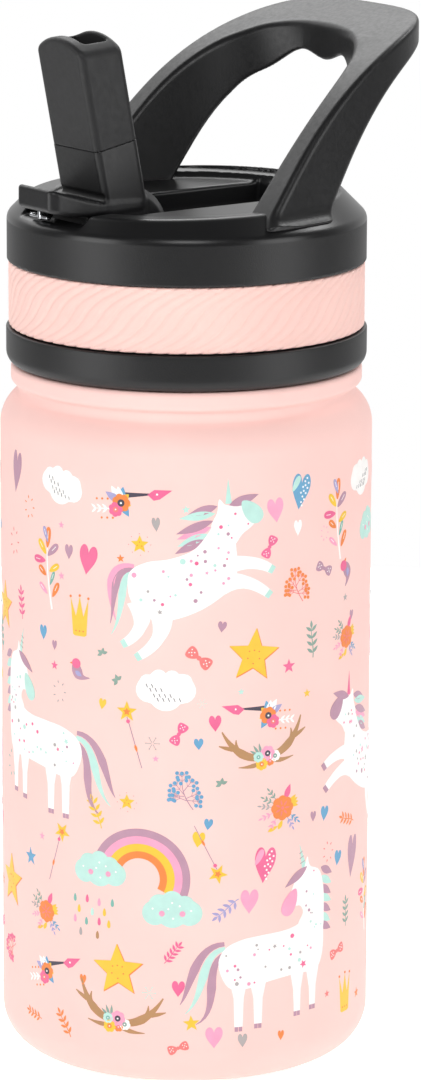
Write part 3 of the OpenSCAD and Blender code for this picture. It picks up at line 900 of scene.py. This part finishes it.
def tall_sprig(spot):
    """White stem with drop-shaped leaves of many colours."""
    spot.fill("white", ribbon([(1.3, -7.4), (0.4, -3), (-0.4, 2), (0, 5.6)], 0.5, 0.3, 0.2))
    for x, y, length, width, angle, ink in (
            (0, 5.2, 4.4, 1.7, 84, "orange"), (0.1, 3.6, 4, 1.8, 42, "mauve"),
            (-0.4, 3.8, 3.6, 1.7, 128, "yellow"), (-0.6, 2.4, 3.6, 1.9, 178, "rose"),
            (0.6, 0.4, 3.2, 1.6, 32, "yellow"), (-0.4, -0.6, 2.8, 1.6, 142, "orange"),
            (0.8, -2.4, 3.2, 1, 68, "teal"), (0, -4.4, 3.2, 1.2, 140, "blush"),
            (1.5, -4.8, 3.6, 1.5, 62, "orange"), (0.2, 6.4, 3.4, 1.2, 112, "lavender")):
        spot.fill(ink, drop(x, y, length, width, angle), 2)
        middle = turned([(length * 0.45, 0), (length * 0.82, 0)], angle, x, y)
        spot.fill("white", ribbon(middle, 0.12, 0.2, 0.12), 3)


def berry_bush(spot, berry="blue", stem="mauve"):
    """Branching stems with a berry at every tip."""
    spot.fill(stem, ribbon([(1.6, -4.2), (0.4, -2.6), (-0.2, -1.4), (-0.6, 0.4)], 0.2, 0.18, 0.14))
    for x, y, angle in ((0.2, -2.3, 158), (0, -1.9, 24), (-0.3, -1, 128), (-0.4, -0.4, 52),
                        (-0.6, 0.4, 92), (0.1, -2.2, -6), (-0.2, -1.4, 176)):
        tip = turned([(3, 0)], angle, x, y)[0]
        spot.fill(stem, ribbon([(x, y), tip], 0.16, 0.13, 0.1))
        spot.fill(berry, disc(*tip, 0.42, 9), 2)
        for t, side in ((0.45, 48), (0.45, -48), (0.78, 52), (0.78, -52)):
            root = turned([(3 * t, 0)], angle, x, y)[0]
            end = turned([(1.25, 0)], angle + side, *root)[0]
            spot.fill(stem, ribbon([root, end], 0.12, 0.11, 0.09))
            spot.fill(berry, disc(*end, 0.4, 9), 2)


def flower(spot, x, y, r, petal, middle, layer=2):
    ring = [(px, py, 0.46 * r) for px, py in disc(0, 0, 0.62 * r, 7)]
    spot.fill(petal, [(x + a, y + b) for a, b in puffs(ring, 42)], layer)
    spot.fill(middle, disc(x, y, 0.42 * r, 12), layer + 1)
    spot.fill("white", disc(x, y, 0.13 * r, 7), layer + 2)


def bouquet(spot):
    """Orange flower head with leaves and small sprigs round it."""
    for angle, ink in ((150, "sage"), (128, "sage"), (170, "grey"), (200, "blush"), (-40, "blue"),
                       (-60, "lavender"), (235, "blush")):
        x, y = turned([(2, 0)], angle)[0]
        tip = turned([(4.6, 0)], angle)[0]
        spot.fill(ink, ribbon([(x, y), tip], 0.14, 0.13, 0.1))
        for t, side in ((0.35, 40), (0.35, -40), (0.7, 40), (0.7, -40), (1, 0)):
            at = (x + (tip[0] - x) * t, y + (tip[1] - y) * t)
            spot.fill(ink, leaf(*at, 1, 0.36, angle + side))
    spot.fill("rose", leaf(0.6, 1.6, 3.2, 1.3, 68))
    for side in (-14, 6, 26, 44):
        spot.fill("yellow", leaf(1.4, 0.6, 2.4, 0.9, side))
    ring = [(1.5 * math.cos(k * 0.785), 1.5 * math.sin(k * 0.785), 1) for k in range(8)]
    spot.fill("orange", puffs(ring, 48), 2)
    for k in range(7):
        turn = math.degrees(0.9 * k)
        spot.fill("coral", leaf(*turned([(0.5, 0)], turn)[0], 1.2, 0.36, turn), 3)
    spot.fill("coral", disc(0, 0, 0.36, 9), 3)
    spot.fills("yellow", [leaf(-3.2, -4.4, 2.4, 0.8, 22), leaf(-0.9, -4.2, 2, 0.9, 62)])


def flower_arrow(spot):
    """Arrow with a bunch of flowers on its shaft."""
    spot.fill("ink", [(1.2, 0.9), (6.4, 1.35), (6.4, 1.75), (1.2, 2.1)])
    spot.fill("rose", [(6, 1.5), (7.6, 2.5), (11.4, 2.2), (8.6, 0.4), (7.3, 0.2)][::-1])
    spot.fill("white", disc(8.1, 1.5, 0.25, 8), 2)
    for k in range(3):
        x = -3.2 - 1.3 * k
        spot.fills("white", [leaf(x, -1.4, 1.5, 0.5, 140), leaf(x, -1.4, 1.5, 0.5, 220)])
        spot.fills("orange", [disc(x + 0.3, 0.7, 0.26, 8), disc(x + 1.2, -3.4, 0.26, 8)])
    spot.fill("white", ribbon([(-1.6, -1.4), (-6.4, -1.4)], 0.35, 0.3, 0.15))
    for angle, length, ink in ((76, 3.4, "blue"), (96, 3.4, "white"), (118, 4, "white"),
                               (146, 4, "lavender"), (-62, 3.6, "blue"), (-128, 3, "yellow"),
                               (-20, 2.4, "yellow"), (40, 2.6, "yellow")):
        spot.fill(ink, leaf(0, 0, length, 1.7, angle))
    flower(spot, -1.2, -1.6, 1.5, "rose", "coral", 2)
    flower(spot, 0.1, -0.2, 1.9, "orange", "ink", 2)


def antlers(spot):
    """Pair of antlers joined by a bunch of flowers."""
    for side in (-1, 1):
        for branch, w in (([(0.6, -2.6), (4.2, -2.6), (7.4, -0.4), (9.4, 4.6)], (1.3, 1.9, 0.3)),
                          ([(5.6, -1.2), (6.6, 0.2), (6.7, 1.2), (6.5, 2.4)], (1.2, 0.8, 0.2)),
                          ([(7.4, 0.4), (8.6, 0.8), (9.4, 1.1), (10.4, 1.6)], (1, 0.8, 0.2)),
                          ([(0.4, -3.4), (2.4, -4.1), (4.2, -4.2), (6.6, -3.8)], (0.8, 1, 0.15))):
            line = [(side * x, y) for x, y in branch]
            spot.fill("brown", ribbon(line, *w)[::side])
    spot.fills("sage", [leaf(-1.6, -1.8, 2.6, 0.6, 118), leaf(-1.2, -1.8, 2.6, 0.6, 96),
                        leaf(-1.8, -2, 2.4, 0.6, 142)])
    flower(spot, -1.9, -2.3, 1.1, "mint", "teal", 2)
    flower(spot, 2, -2.8, 1.2, "white", "sage", 2)
    flower(spot, -1.3, -4, 1.3, "yellow", "orange", 2)
    flower(spot, 0.7, -3.7, 1, "orange", "coral", 2)
    flower(spot, 0.3, -1.9, 1.6, "blush", "ink", 2)


def frost(spot, ink="grey"):
    """Little six-armed frost mark."""
    for k in range(6):
        spot.fill(ink, ribbon(turned([(0.25, 0), (1.3, 0)], 60 * k), 0.16, 0.2, 0.12))
        spot.fill(ink, disc(*turned([(1.5, 0)], 60 * k)[0], 0.17, 6))


def petals(spot, ink="sage"):
    """Four small leaves in a bunch."""
    spot.fills(ink, [leaf(0, 0, 1.5, 0.8, a) for a in (20, 80, 150, 205)])


def crumbs(spot, ink="coral"):
    """Short strokes and dots in a loose ring."""
    for k in range(7):
        x, y = 1.5 * math.cos(k * 0.9), 2.2 * math.sin(k * 0.9)
        spot.fill(ink, leaf(x, y, 0.9, 0.34, 50 * k))


# Motifs of the front with their places: turn and height, then size, tilt and ink where needed
FRONT = [
    (leaping_horse, [(0, 100)]),
    (standing_horse, [(10, 12, 0.96), (-33, 53, -0.94, 0, "mint")]),
    (leaping_horse, [(73, 59, -0.95, 0, "mauve", "rose")]),
    (rainbow, [(-14, 43)]),
    (rain, [(-29, 36, 0.95)]),
    (big_star, [(-21, 24, 1, 2), (21, 87, 1, -6), (-70, 36), (-76, 91, 0.9)]),
    (white_cloud, [(-41, 119, 1, -12), (-6, 81, 1.12), (69, 118, -1)]),
    (mint_cloud, [(76, 108, 0.9)]),
    (flower_arrow, [(-20, 117, 0.9, 4), (26, 75, -0.85, -3), (-48, 21, 0.85, 14)]),
    (antlers, [(-21, 16, 0.92, -8), (25, 69, 0.9, 6)]),
    (tall_sprig, [(-47, 101, 0.95), (53, 110, 0.95), (76, 31, 0.9)]),
    (crown, [(-34, 94, 0.92), (60, 15, 0.92)]),
    (berry_bush, [(0, 61, 0.95), (36, 100, 0.85, 0, "orange", "coral"),
        (-72, 22, 0.8, 90, "rose", "coral")]),
    (bouquet, [(31, 56), (59, 87, 0.9), (-48, 33, 0.9)]),
    (wand, [(-18, 76), (-41, 50, 0.95, -34), (10, 44, 0.95, 190)]),
    (plain_heart, [(-64, 119, 1, 0, "mauve", 3.6, 8.4), (-31, 105, 1, 0, "rose", 3.9, 5.9),
        (-38, 106, 0.52, 8, "mauve", 3.6, 5.6), (-9, 113, 0.5, 12, "grey", 3.2, 5.6),
        (-49, 89, 0.55, 10, "blue", 3.6, 5.4), (-44, 87, 0.36, 8, "mauve", 3.4, 5.4),
        (28, 115, 0.86, 14, "blush", 4, 5.6), (36, 111, 0.6, 8, "white", 3, 5.2),
        (11, 93, 0.5, 0, "mauve", 3.4, 4.4), (9, 74, 0.62, 10, "rose", 3.8, 5.2),
        (4, 70, 0.5, 10, "blue", 3.6, 4.6), (-26, 77, 0.5, 0, "yellow", 3, 4.4),
        (4, 51, 0.6, 0, "yellow", 4, 5.2), (7, 54, 0.5, 0, "blue", 3.4, 4.6),
        (-2, 21, 0.62, 6, "rose", 4, 5.2), (-33, 21, 0.42, 8, "orange", 3.4, 5.2),
        (20, 38, 0.9, 6, "blush", 4, 5.4), (48, 53, 0.6, 0, "blue", 3.6, 5),
        (43, 53, 0.42, 6, "mauve", 3.4, 5), (55, 43, 0.62, -4, "blue", 3.6, 5),
        (64, 42, 1, 0, "mauve", 3.8, 8.6), (9, 11, 0.8, 8, "blush", 4.2, 5.4),
        (18, 10, 0.56, 8, "grey", 3.4, 5), (31, 10, 0.4, 6, "orange", 3.4, 5),
        (62, 91, 0.4, 0, "mauve", 3.4, 5)]),
    (dotted_heart, [(37, 118, 0.97, -2, "blue", "mint"), (25, 45)]),
    (dotted_star, [(-14, 109, 0.95), (-18, 58, 0.85)]),
    (small_star, [(-20, 106, 0.85, 6, "orange"), (0, 116, 0.85, 4, "mint"),
        (-41, 111, 0.75, 0, "blush"), (-41, 101, 0.8, 8, "blush"), (-44, 83, 0.95, 0, "rose"),
        (33, 84, 1.5, 0, "rose"), (40, 78, 0.9, 0, "yellow"), (2, 14, 1.7, 4),
        (-56, 43, 1.9, 4, "blue"), (69, 13, 1.1, 0, "orange"), (50, 16, 0.8, 0, "coral"),
        (-9, 67, 0.7, 0, "blush"), (17, 80, 0.7, 0, "mint"), (58, 95, 0.8, 0, "grey"),
        (-50, 48, 0.8, 0, "blush")]),
    (frost, [(-10, 70, 0.85), (-11, 20, 0.85, 0, "mint"), (5, 78, 0.6, 0, "mint")]),
    (bow, [(26, 108, 0.78, 62), (4, 87, 0.95, -38, "coral"), (-2, 72, 0.8, 60),
        (47, 102, 0.78, -25, "mauve"), (-2, 9, 0.72, 20, "coral"), (55, 24, 0.8, 15, "coral")]),
    (little_bird, [(-34, 83, 0.8), (58, 100, -0.85, 60)]),
    (petals, [(-26, 87, 0.8, 0, "sage"), (-21, 82, 0.85, 30, "sage"), (11, 62, 0.85, 0, "sage")]),
    (sprig, [(42, 88, 1.05, 4), (-61, 93, 0.95, 6, "rose"), (-28, 55, 1, 20, "yellow"),
        (13, 37, 0.95, 128, "lavender"), (60, 31, 0.9), (-4, 28, 0.8, -38, "rose", 5),
        (-54, 11, 0.75, 80, "orange"), (-40, 11, 0.9, 32, "orange"), (61, 50, 0.9, 70, "orange")]),
    (crumbs, [(-56, 113, 0.75, 0, "orange"), (-42, 78, 0.75, 0, "grey"),
        (50, 45, 0.7, 0, "coral"), (47, 109, 0.5, 0, "blush"), (-66, 105, 0.9, 0, "coral"),
        (-69, 60, 0.9, 0, "teal")]),
]


SIDES = [
    (white_cloud, [(0, 92, 0.9)]), (dotted_heart, [(-1, 82, 0.9)]),
    (sprig, [(7, 84, 1, 8, "teal")]),
    (small_star, [(5, 76, 1.2)]), (plain_heart, [(3, 46, 0.7, 0, "rose")]), (frost, [(-4, 17)]),
    (bow, [(4, 25, 0.8, 20)]), (small_star, [(6, 34, 1.2, 9, "orange")]), (petals, [(2, 12, 0.9)]),
    (plain_heart, [(1, 116, 0.8, 4, "coral")]), (small_star, [(4, 106, 1, 0, "blue")]),
]


def place(motifs, middle):
    for draw, places in motifs:
        for turn, z, *rest in places:
            draw(Spot(middle + turn, z, *rest[:2]), *rest[2:])


def lay_out():
    """Pattern on the front, again on the back, and single motifs where the two meet."""
    for middle in (0, 180):
        place(FRONT, middle)
    for middle in (90, 272):
        place(SIDES, middle)


def cut_line(p, q, s):
    """Point of a segment on an upright line; the same whichever end comes first."""
    if q < p:
        p, q = q, p
    t = (s - p[0]) / (q[0] - p[0])
    return (s, p[1] + (q[1] - p[1]) * t)


def clip(polygon, s, keep_left):
    """Part of a convex polygon on one side of an upright line."""
    out = []
    for p, q in zip(polygon, polygon[1:] + polygon[:1]):
        p_in = p[0] <= s if keep_left else p[0] >= s
        q_in = q[0] <= s if keep_left else q[0] >= s
        if p_in:
            out.append(p)
        if p_in != q_in and p[0] != s and q[0] != s:
            out.append(cut_line(p, q, s))
    return out


def bent_solid(outline, layer, vertices, faces):
    """Adds a thin closed solid that follows the wall: the outline gives arc length and height."""
    loop = [(round(s, 3), round(z, 3)) for s, z in outline]
    loop = [p for k, p in enumerate(loop) if p != loop[k - 1]]
    polygons = []
    for triangle in tessellate_polygon([[Vector((*p, 0)) for p in loop]]):
        corners = [loop[k] for k in triangle]
        area = sum(p[0] * q[1] - q[0] * p[1] for p, q in zip(corners, corners[1:] + corners[:1]))
        if abs(area) < 1e-7:
            continue
        if area < 0:
            corners.reverse()
        first = math.floor(min(p[0] for p in corners) / STRIP)
        last = math.floor(max(p[0] for p in corners) / STRIP)
        rest = corners
        for k in range(first + 1, last + 1):
            polygons.append(clip(rest, k * STRIP, True))
            rest = clip(rest, k * STRIP, False)
        polygons.append(rest)
    number, edges, tops = {}, set(), []
    for polygon in polygons:
        ring = []
        for s, z in polygon:
            index = number.setdefault((round(s, 3), round(z, 3)), len(number))
            if not ring or ring[-1] != index:
                ring.append(index)
        while len(ring) > 1 and ring[0] == ring[-1]:
            ring.pop()
        if len(ring) > 2:
            tops.append(ring)
            edges.update(zip(ring, ring[1:] + ring[:1]))
    start, count = len(vertices), len(number)
    for radius in (BODY_R + LAYER_T * layer, BODY_R - 0.03):
        for s, z in number:
            angle = PRINT_MIDDLE + s / BODY_R
            vertices.append((radius * math.cos(angle), radius * math.sin(angle), z))
    for ring in tops:
        faces.append([start + k for k in ring])
        faces.append([start + count + k for k in reversed(ring)])
    faces.extend([start + b, start + a, start + count + a, start + count + b]
                 for a, b in sorted(edges) if (b, a) not in edges)


def add_print():
    lay_out()
    for name, code in INKS.items():
        vertices, faces = [], []
        for layer, outline in shapes[name]:
            bent_solid(outline, layer, vertices, faces)
        new_piece("print_" + name, vertices, faces, "bottle", ink(name, code),
                  sharp=50)


add_print()


# ---------------------------------------------------------------- lid rings
def add_collar():
    r0, r1 = LID_BORE_R, COLLAR_HIGH[0]
    z0, z1 = COLLAR_LOW[2], COLLAR_HIGH[2] - 0.15
    profile = [(r0, z1), (r0, z0), (r1 - 1.3, z0)] + bezier(
        (r1 - 1.3, z0), (r1 - 0.7, z0 + 0.05), (r1, z0 + 1.0), (r1, z0 + 2.2), 12)[1:]
    profile += [(r1, z) for z in np.linspace(z0 + 3, z1 - 1.2, 4)]
    profile += arc((r1 - 0.35, z1 - 0.35), 0.35, 0, 90, 6)
    vertices, faces = lathe(profile, 288)
    new_piece("collar_ring", vertices, faces, "lid", LID_PLASTIC, ["lid_collar"],
              sharp=40)


def add_grip_band():
    """Silicone band with slanting ribs that lie flatter towards both edges of the band."""
    ribs, sideways, depth = 68, 18.0, 0.34
    seat, r1 = BAND_SEAT_R + 0.02, BAND_HIGH[0]
    z0, z1 = BAND_LOW[2] + 0.05, BAND_HIGH[2]

    def ribbing(turn, radius, z):
        t = np.clip((z - z0) / (z1 - z0), 0, 1)
        shift = sideways / r1 * (t + 0.5 * np.sin(2 * math.pi * t) / (2 * math.pi))
        wave = np.abs(np.sin(0.5 * ribs * (turn - shift)))
        rib = (1 - wave) ** 2.2
        return np.where(radius > r1 - 1.0, -depth * rib, 0.0)

    profile = [(seat, z1), (seat, z0)] + arc((r1 - 0.45, z0 + 0.45), 0.45, -90, 0, 5)
    profile += [(r1, z) for z in np.linspace(z0 + 0.45, z1 - 0.45, 40)[1:-1]]
    profile += arc((r1 - 0.45, z1 - 0.45), 0.45, 0, 90, 5)
    vertices, faces = lathe(profile, ribs * 14, ribbing)
    new_piece("grip_band_ribbed", vertices, faces, "lid", pink_silicone(),
              ["grip_band"], sharp=60)


add_collar()
add_grip_band()


# ---------------------------------------------------------------- handle
def handle_outlines():
    """Plan outlines (outer, inner) and side view of the handle, as closed point lists."""
    back = HANDLE_HIGH[1] - 0.8
    outer = bezier((33.9, -7.6), (32.7, 0), (31.4, 5.4), (30.6, 10), 14)[:-1] \
        + bezier((30.6, 10), (24.6, 44), (19.5, back), (0, back), 60)
    inner = bezier((25.8, -7.6), (26.2, 18.1), (20.8, 33.1), (0, 33.1), 60)
    front = bezier((-7.6, 166), (6.0, 182.9), (14.9, 197.6), (back - 0.4, 205), 70)
    under = bezier((back, 199.6), (27.5, 195.8), (19.5, 182.2), (10.8, 167), 60)
    side = front + under + [(10.8, 166)]
    below_front = front + [(back + 20, 208), (back + 20, 120), (-40, 120), (-40, 150)]
    return mirrored(outer), mirrored(inner), side, below_front


HANDLE_OUTER, HANDLE_INNER, HANDLE_SIDE, HANDLE_FRONT = handle_outlines()


def handle_field(x, y, z):
    outer = outline_distance(x, y, HANDLE_OUTER) - 0.15
    # The feet widen to the curve of the lid they stand on
    outer = join(outer, np.maximum(np.hypot(x, y) - 33.6, z - 168.4), 3.5)
    inner = outline_distance(x, y, HANDLE_INNER)
    side = outline_distance(y, z, HANDLE_SIDE) - 0.15
    # The hole narrows from its front face to its back along the legs
    depth = np.clip(-outline_distance(y, z, HANDLE_FRONT), 0, 12)
    hole = inner + 0.24 * depth * np.clip((np.abs(x) - 6) / 12, 0, 1)
    # Finger scallops along the lower edge of the grip
    scoop = np.clip((y - 24) / 6, 0, 1) * np.clip((201 - z) / 3, 0, 1) * np.exp(-(x / 18.0) ** 4)
    side = side + scoop * (0.3 - 0.8 * np.cos(2 * math.pi * x / 14.0))
    leg = np.clip((197 - z) / 16, 0, 1)
    body = meet(meet(outer, side, 1.1 + 0.5 * leg), -hole, 1.0)
    return meet(body, HANDLE_LOW[2] + 0.45 - z, 0.7)


def add_handle():
    low = (HANDLE_LOW[0], HANDLE_LOW[1] - 2.2, HANDLE_LOW[2])
    moulded("handle_loop", handle_field, low, HANDLE_HIGH, 0.42, "lid",
            HANDLE_PLASTIC, ["carry_handle"])


add_handle()


# ---------------------------------------------------------------- lid shell
RIM_Z, RIM_TILT, CONE_SUM = 171.35, math.radians(1.75), 202.1
CHANNEL_HALF, CHANNEL_FLOOR, CHANNEL_REAR = 10.0, 158.5, 24.8
WELL_FRONT, WELL_REAR, WELL_FLOOR = -28.9, -8.1, 153.9
NOTCH_HALF, NOTCH_FLOOR = 9.8, 168.3
LID_CUT_Z = 156.0


def lid_profile():
    """Half section of the shell above its skirt, without the rim's tilt."""
    crest = RIM_Z + 2
    outside = ([(BAND_SEAT_R, LID_CUT_Z), (BAND_SEAT_R, BAND_HIGH[2] + 0.1)]
               + arc((LID_R - 0.35, BAND_HIGH[2] + 0.45), 0.35, 270, 360, 6)
               + arc((LID_R - 2.2, 166.2), 2.2, 0, 45, 14)
               + [(CONE_SUM - crest, crest), (29.2, crest)])
    inside = ([(29.2, RIM_Z + 0.1), (27.2, 171)] + arc((25.2, 172.2), 2.4, 300, 270, 6)
              + [(0, 169.8), (0, 154.2), (LID_BORE_R, 154.2), (LID_BORE_R, LID_CUT_Z)])
    return outside + inside


LID_PROFILE = lid_profile()


def lid_field(x, y, z):
    radius = np.hypot(x, y)
    shell = outline_distance(radius, z, LID_PROFILE)
    rim = (z - RIM_Z) * math.cos(RIM_TILT) - y * math.sin(RIM_TILT)
    shell = meet(shell, rim, 0.45)
    hollow = box_distance(x, y, z, (-100, -100, 100), (100, 100, 167.2))
    hollow = meet(hollow, radius - LID_BORE_R, 0.5)
    tub = box_distance(x, y, z, (-12, WELL_FRONT - 2, WELL_FLOOR), (12, CHANNEL_REAR + 2, 171))
    shell = join(cut(shell, hollow, 0.1), meet(tub, np.maximum(radius - 32.2, z - 169), 0.1), 0.2)
    channel = box_distance(x, y, z, (-CHANNEL_HALF, WELL_REAR - 20, CHANNEL_FLOOR),
                           (CHANNEL_HALF, CHANNEL_REAR, 190), 0.6)
    well = box_distance(x, y, z, (-CHANNEL_HALF, WELL_FRONT, 140),
                        (CHANNEL_HALF, WELL_REAR, 190), 0.4)
    notch = box_distance(x, y, z, (-NOTCH_HALF, -50, NOTCH_FLOOR),
                         (NOTCH_HALF, WELL_FRONT + 1, 190), 0.6)
    return cut(shell, np.minimum(np.minimum(channel, well), notch), 0.6)


def add_lid_shell():
    low = (-LID_R, -LID_R, LID_CUT_Z)
    high = (LID_R, LID_R, LID_HIGH[2])
    moulded("lid_top", lid_field, low, high, 0.5, "lid", LID_PLASTIC,
            ["lid_shell"])
    r0, r1, z0, z1 = LID_BORE_R, BAND_SEAT_R - 0.05, BAND_LOW[2], LID_CUT_Z + 0.5
    skirt = [(r0, z0), (r1, z0), (r1, z1), (r0, z1)]
    vertices, faces = lathe(skirt, 180)
    new_piece("lid_skirt", vertices, faces, "lid", LID_PLASTIC, sharp=40)


add_lid_shell()


# ---------------------------------------------------------------- spout
PARTING_U, CORNER_U, PEAK_U = 18.5, 37.55, 40.4
SPOUT_FRONT, SPOUT_BACK = -4.6, 5.3
MOUTH_MIDDLE = 1.0
SPOUT_MIDDLE = (SPOUT_FRONT + SPOUT_BACK) / 2
DRUM_R, DRUM_HALF, BOSS_R = 10.0, 7.2, 4.0
FLOW_R = 1.9
TAB_FRONT, TAB_CORNER_R = -36.1, 1.9
SPIGOT_R = 3.1                        # stub of the base that the mouthpiece is pushed onto


def spout_axes(y, z):
    """Coordinates along the spout (u) and across it (v) of points in the frame."""
    c, s = math.cos(SPOUT_LEAN), math.sin(SPOUT_LEAN)
    dy, dz = y - PIVOT_Y, z - PIVOT_Z
    return c * dz - s * dy, c * dy + s * dz


def mouthpiece_field(x, y, z):
    u, v = spout_axes(y, z)
    half_v = (SPOUT_BACK - SPOUT_FRONT) / 2
    across = bar_distance(x, v - SPOUT_MIDDLE, SPOUT_HALF, half_v, 1.5)
    rise = PEAK_U - CORNER_U
    crown_r = (SPOUT_HALF**2 + rise**2) / (2 * rise)
    crown = np.hypot(x, np.maximum(u + 0.13 * (v - SPOUT_FRONT) - (PEAK_U - crown_r), 0)) - crown_r
    solid = meet(meet(across, crown, 1.0), PARTING_U + 0.01 - u, 0.04)
    bore = meet(bar_distance(x, v - MOUTH_MIDDLE, 4.9, 2.8, 0.9), 25 - u, 0.4)
    socket = np.maximum(np.hypot(x, v - SPOUT_MIDDLE) - SPIGOT_R - 0.1, u - 25.5)
    return cut(solid, np.minimum(bore, socket), 0.55)


def tab_field(x, y, z):
    """Thumb tab: it narrows and rises towards its front."""
    front = TAB_FRONT
    half = SPOUT_HALF - 1.7 * np.clip((-26.5 - y) / (-26.5 - front), 0, 1)
    plan = bar_distance(x * SPOUT_HALF / half, y - (front - 15) / 2,
                        SPOUT_HALF, (-15 - front) / 2, TAB_CORNER_R)
    return meet(plan, outline_distance(y, z, TAB_SIDE), 0.9)


# The side view runs past the front, so that the plan alone sets where the tab ends
TAB_SIDE = ([(-15, 170.2), (-28.2, 169.7), (-31, 169.8), (-39, 171.5), (-39, 176.3)]
            + bezier((-35.7, 175.3), (-32, 174.3), (-29, 173.1), (-25.3, 172.5), 16)
            + [(-15, 172.2)])


def spout_base_field(x, y, z):
    u, v = spout_axes(y, z)
    across = bar_distance(x, v - SPOUT_MIDDLE, SPOUT_HALF, (SPOUT_BACK - SPOUT_FRONT) / 2, 1.4)
    column = meet(meet(across, u - PARTING_U + 0.01, 0.04), 2 - u, 0.3)
    reach = np.hypot(y - PIVOT_Y, z - PIVOT_Z)
    bevel = (reach - DRUM_R + 1.5 + np.abs(x) - (DRUM_HALF - 0.2)) * math.sqrt(0.5)
    drum = meet(np.maximum(reach - DRUM_R, bevel), np.abs(x) - DRUM_HALF, 0.35)
    boss = np.maximum(reach - BOSS_R, np.abs(x) - 9.7)
    solid = join(join(column, drum, 0.5), tab_field(x, y, z), 0.7)
    crease = np.hypot(y + 25.2, z - 173.0) - 0.8
    solid = np.minimum(cut(solid, crease, 0.35), boss)
    spigot = np.maximum(np.hypot(x, v - SPOUT_MIDDLE) - SPIGOT_R, np.abs(u - 21) - 4)
    solid = np.minimum(solid, spigot)
    flow = np.maximum(np.hypot(x, v - SPOUT_MIDDLE) - FLOW_R, -u)
    intake = np.maximum(np.hypot(x, y - PIVOT_Y) - FLOW_R, z - PIVOT_Z)
    pins = np.maximum(reach - 1.6, 4.2 - np.abs(x))
    return cut(solid, np.minimum(np.minimum(flow, intake), pins), 0.15)


def catch_field(x, y, z):
    """Small bent clip under the tab."""
    bar = box_distance(x, y, z, (-5.4, -33.4, 168.7), (0.6, -32.2, 169.5), 0.38)
    hook = box_distance(x, y, z, (-2.6, -33.5, 168.5), (-1.5, -31.4, 170.4), 0.4)
    return join(bar, hook, 0.2)


def add_spout():
    moulded("mouthpiece_soft", mouthpiece_field, MOUTH_LOW, MOUTH_HIGH, 0.28, "spout",
            black_silicone(), ["mouthpiece"])
    moulded("spout_drum_and_tab", spout_base_field, BASE_LOW, BASE_HIGH, 0.3, "spout",
            SPOUT_PLASTIC, ["spout_base"])
    moulded("tab_clip", catch_field, (-6, -34, 168), (2, -31, 171), 0.12, "lid",
            catch_metal(), ["tab_catch"])


add_spout()


# ---------------------------------------------------------------- CAD nodes that stay
def dress(node, material):
    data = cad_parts[node].data
    data.materials.clear()
    data.materials.append(material)


for finish_of_nodes, nodes in (
        (BARE_STEEL, ("inner_vessel", "base_cup", "vacuum_seal")),
        (PIN_STEEL, ("hinge_pin_left", "hinge_pin_right")),
        (CLEAR, ("lid_gasket", "spout_seal", "straw_adapter", "vent_valve")),
        (GETTER_METAL, ("getter",)), (LID_PLASTIC, ("lid_liner",)), (straw_plastic(), ("straw",))):
    for node in nodes:
        dress(node, finish_of_nodes)
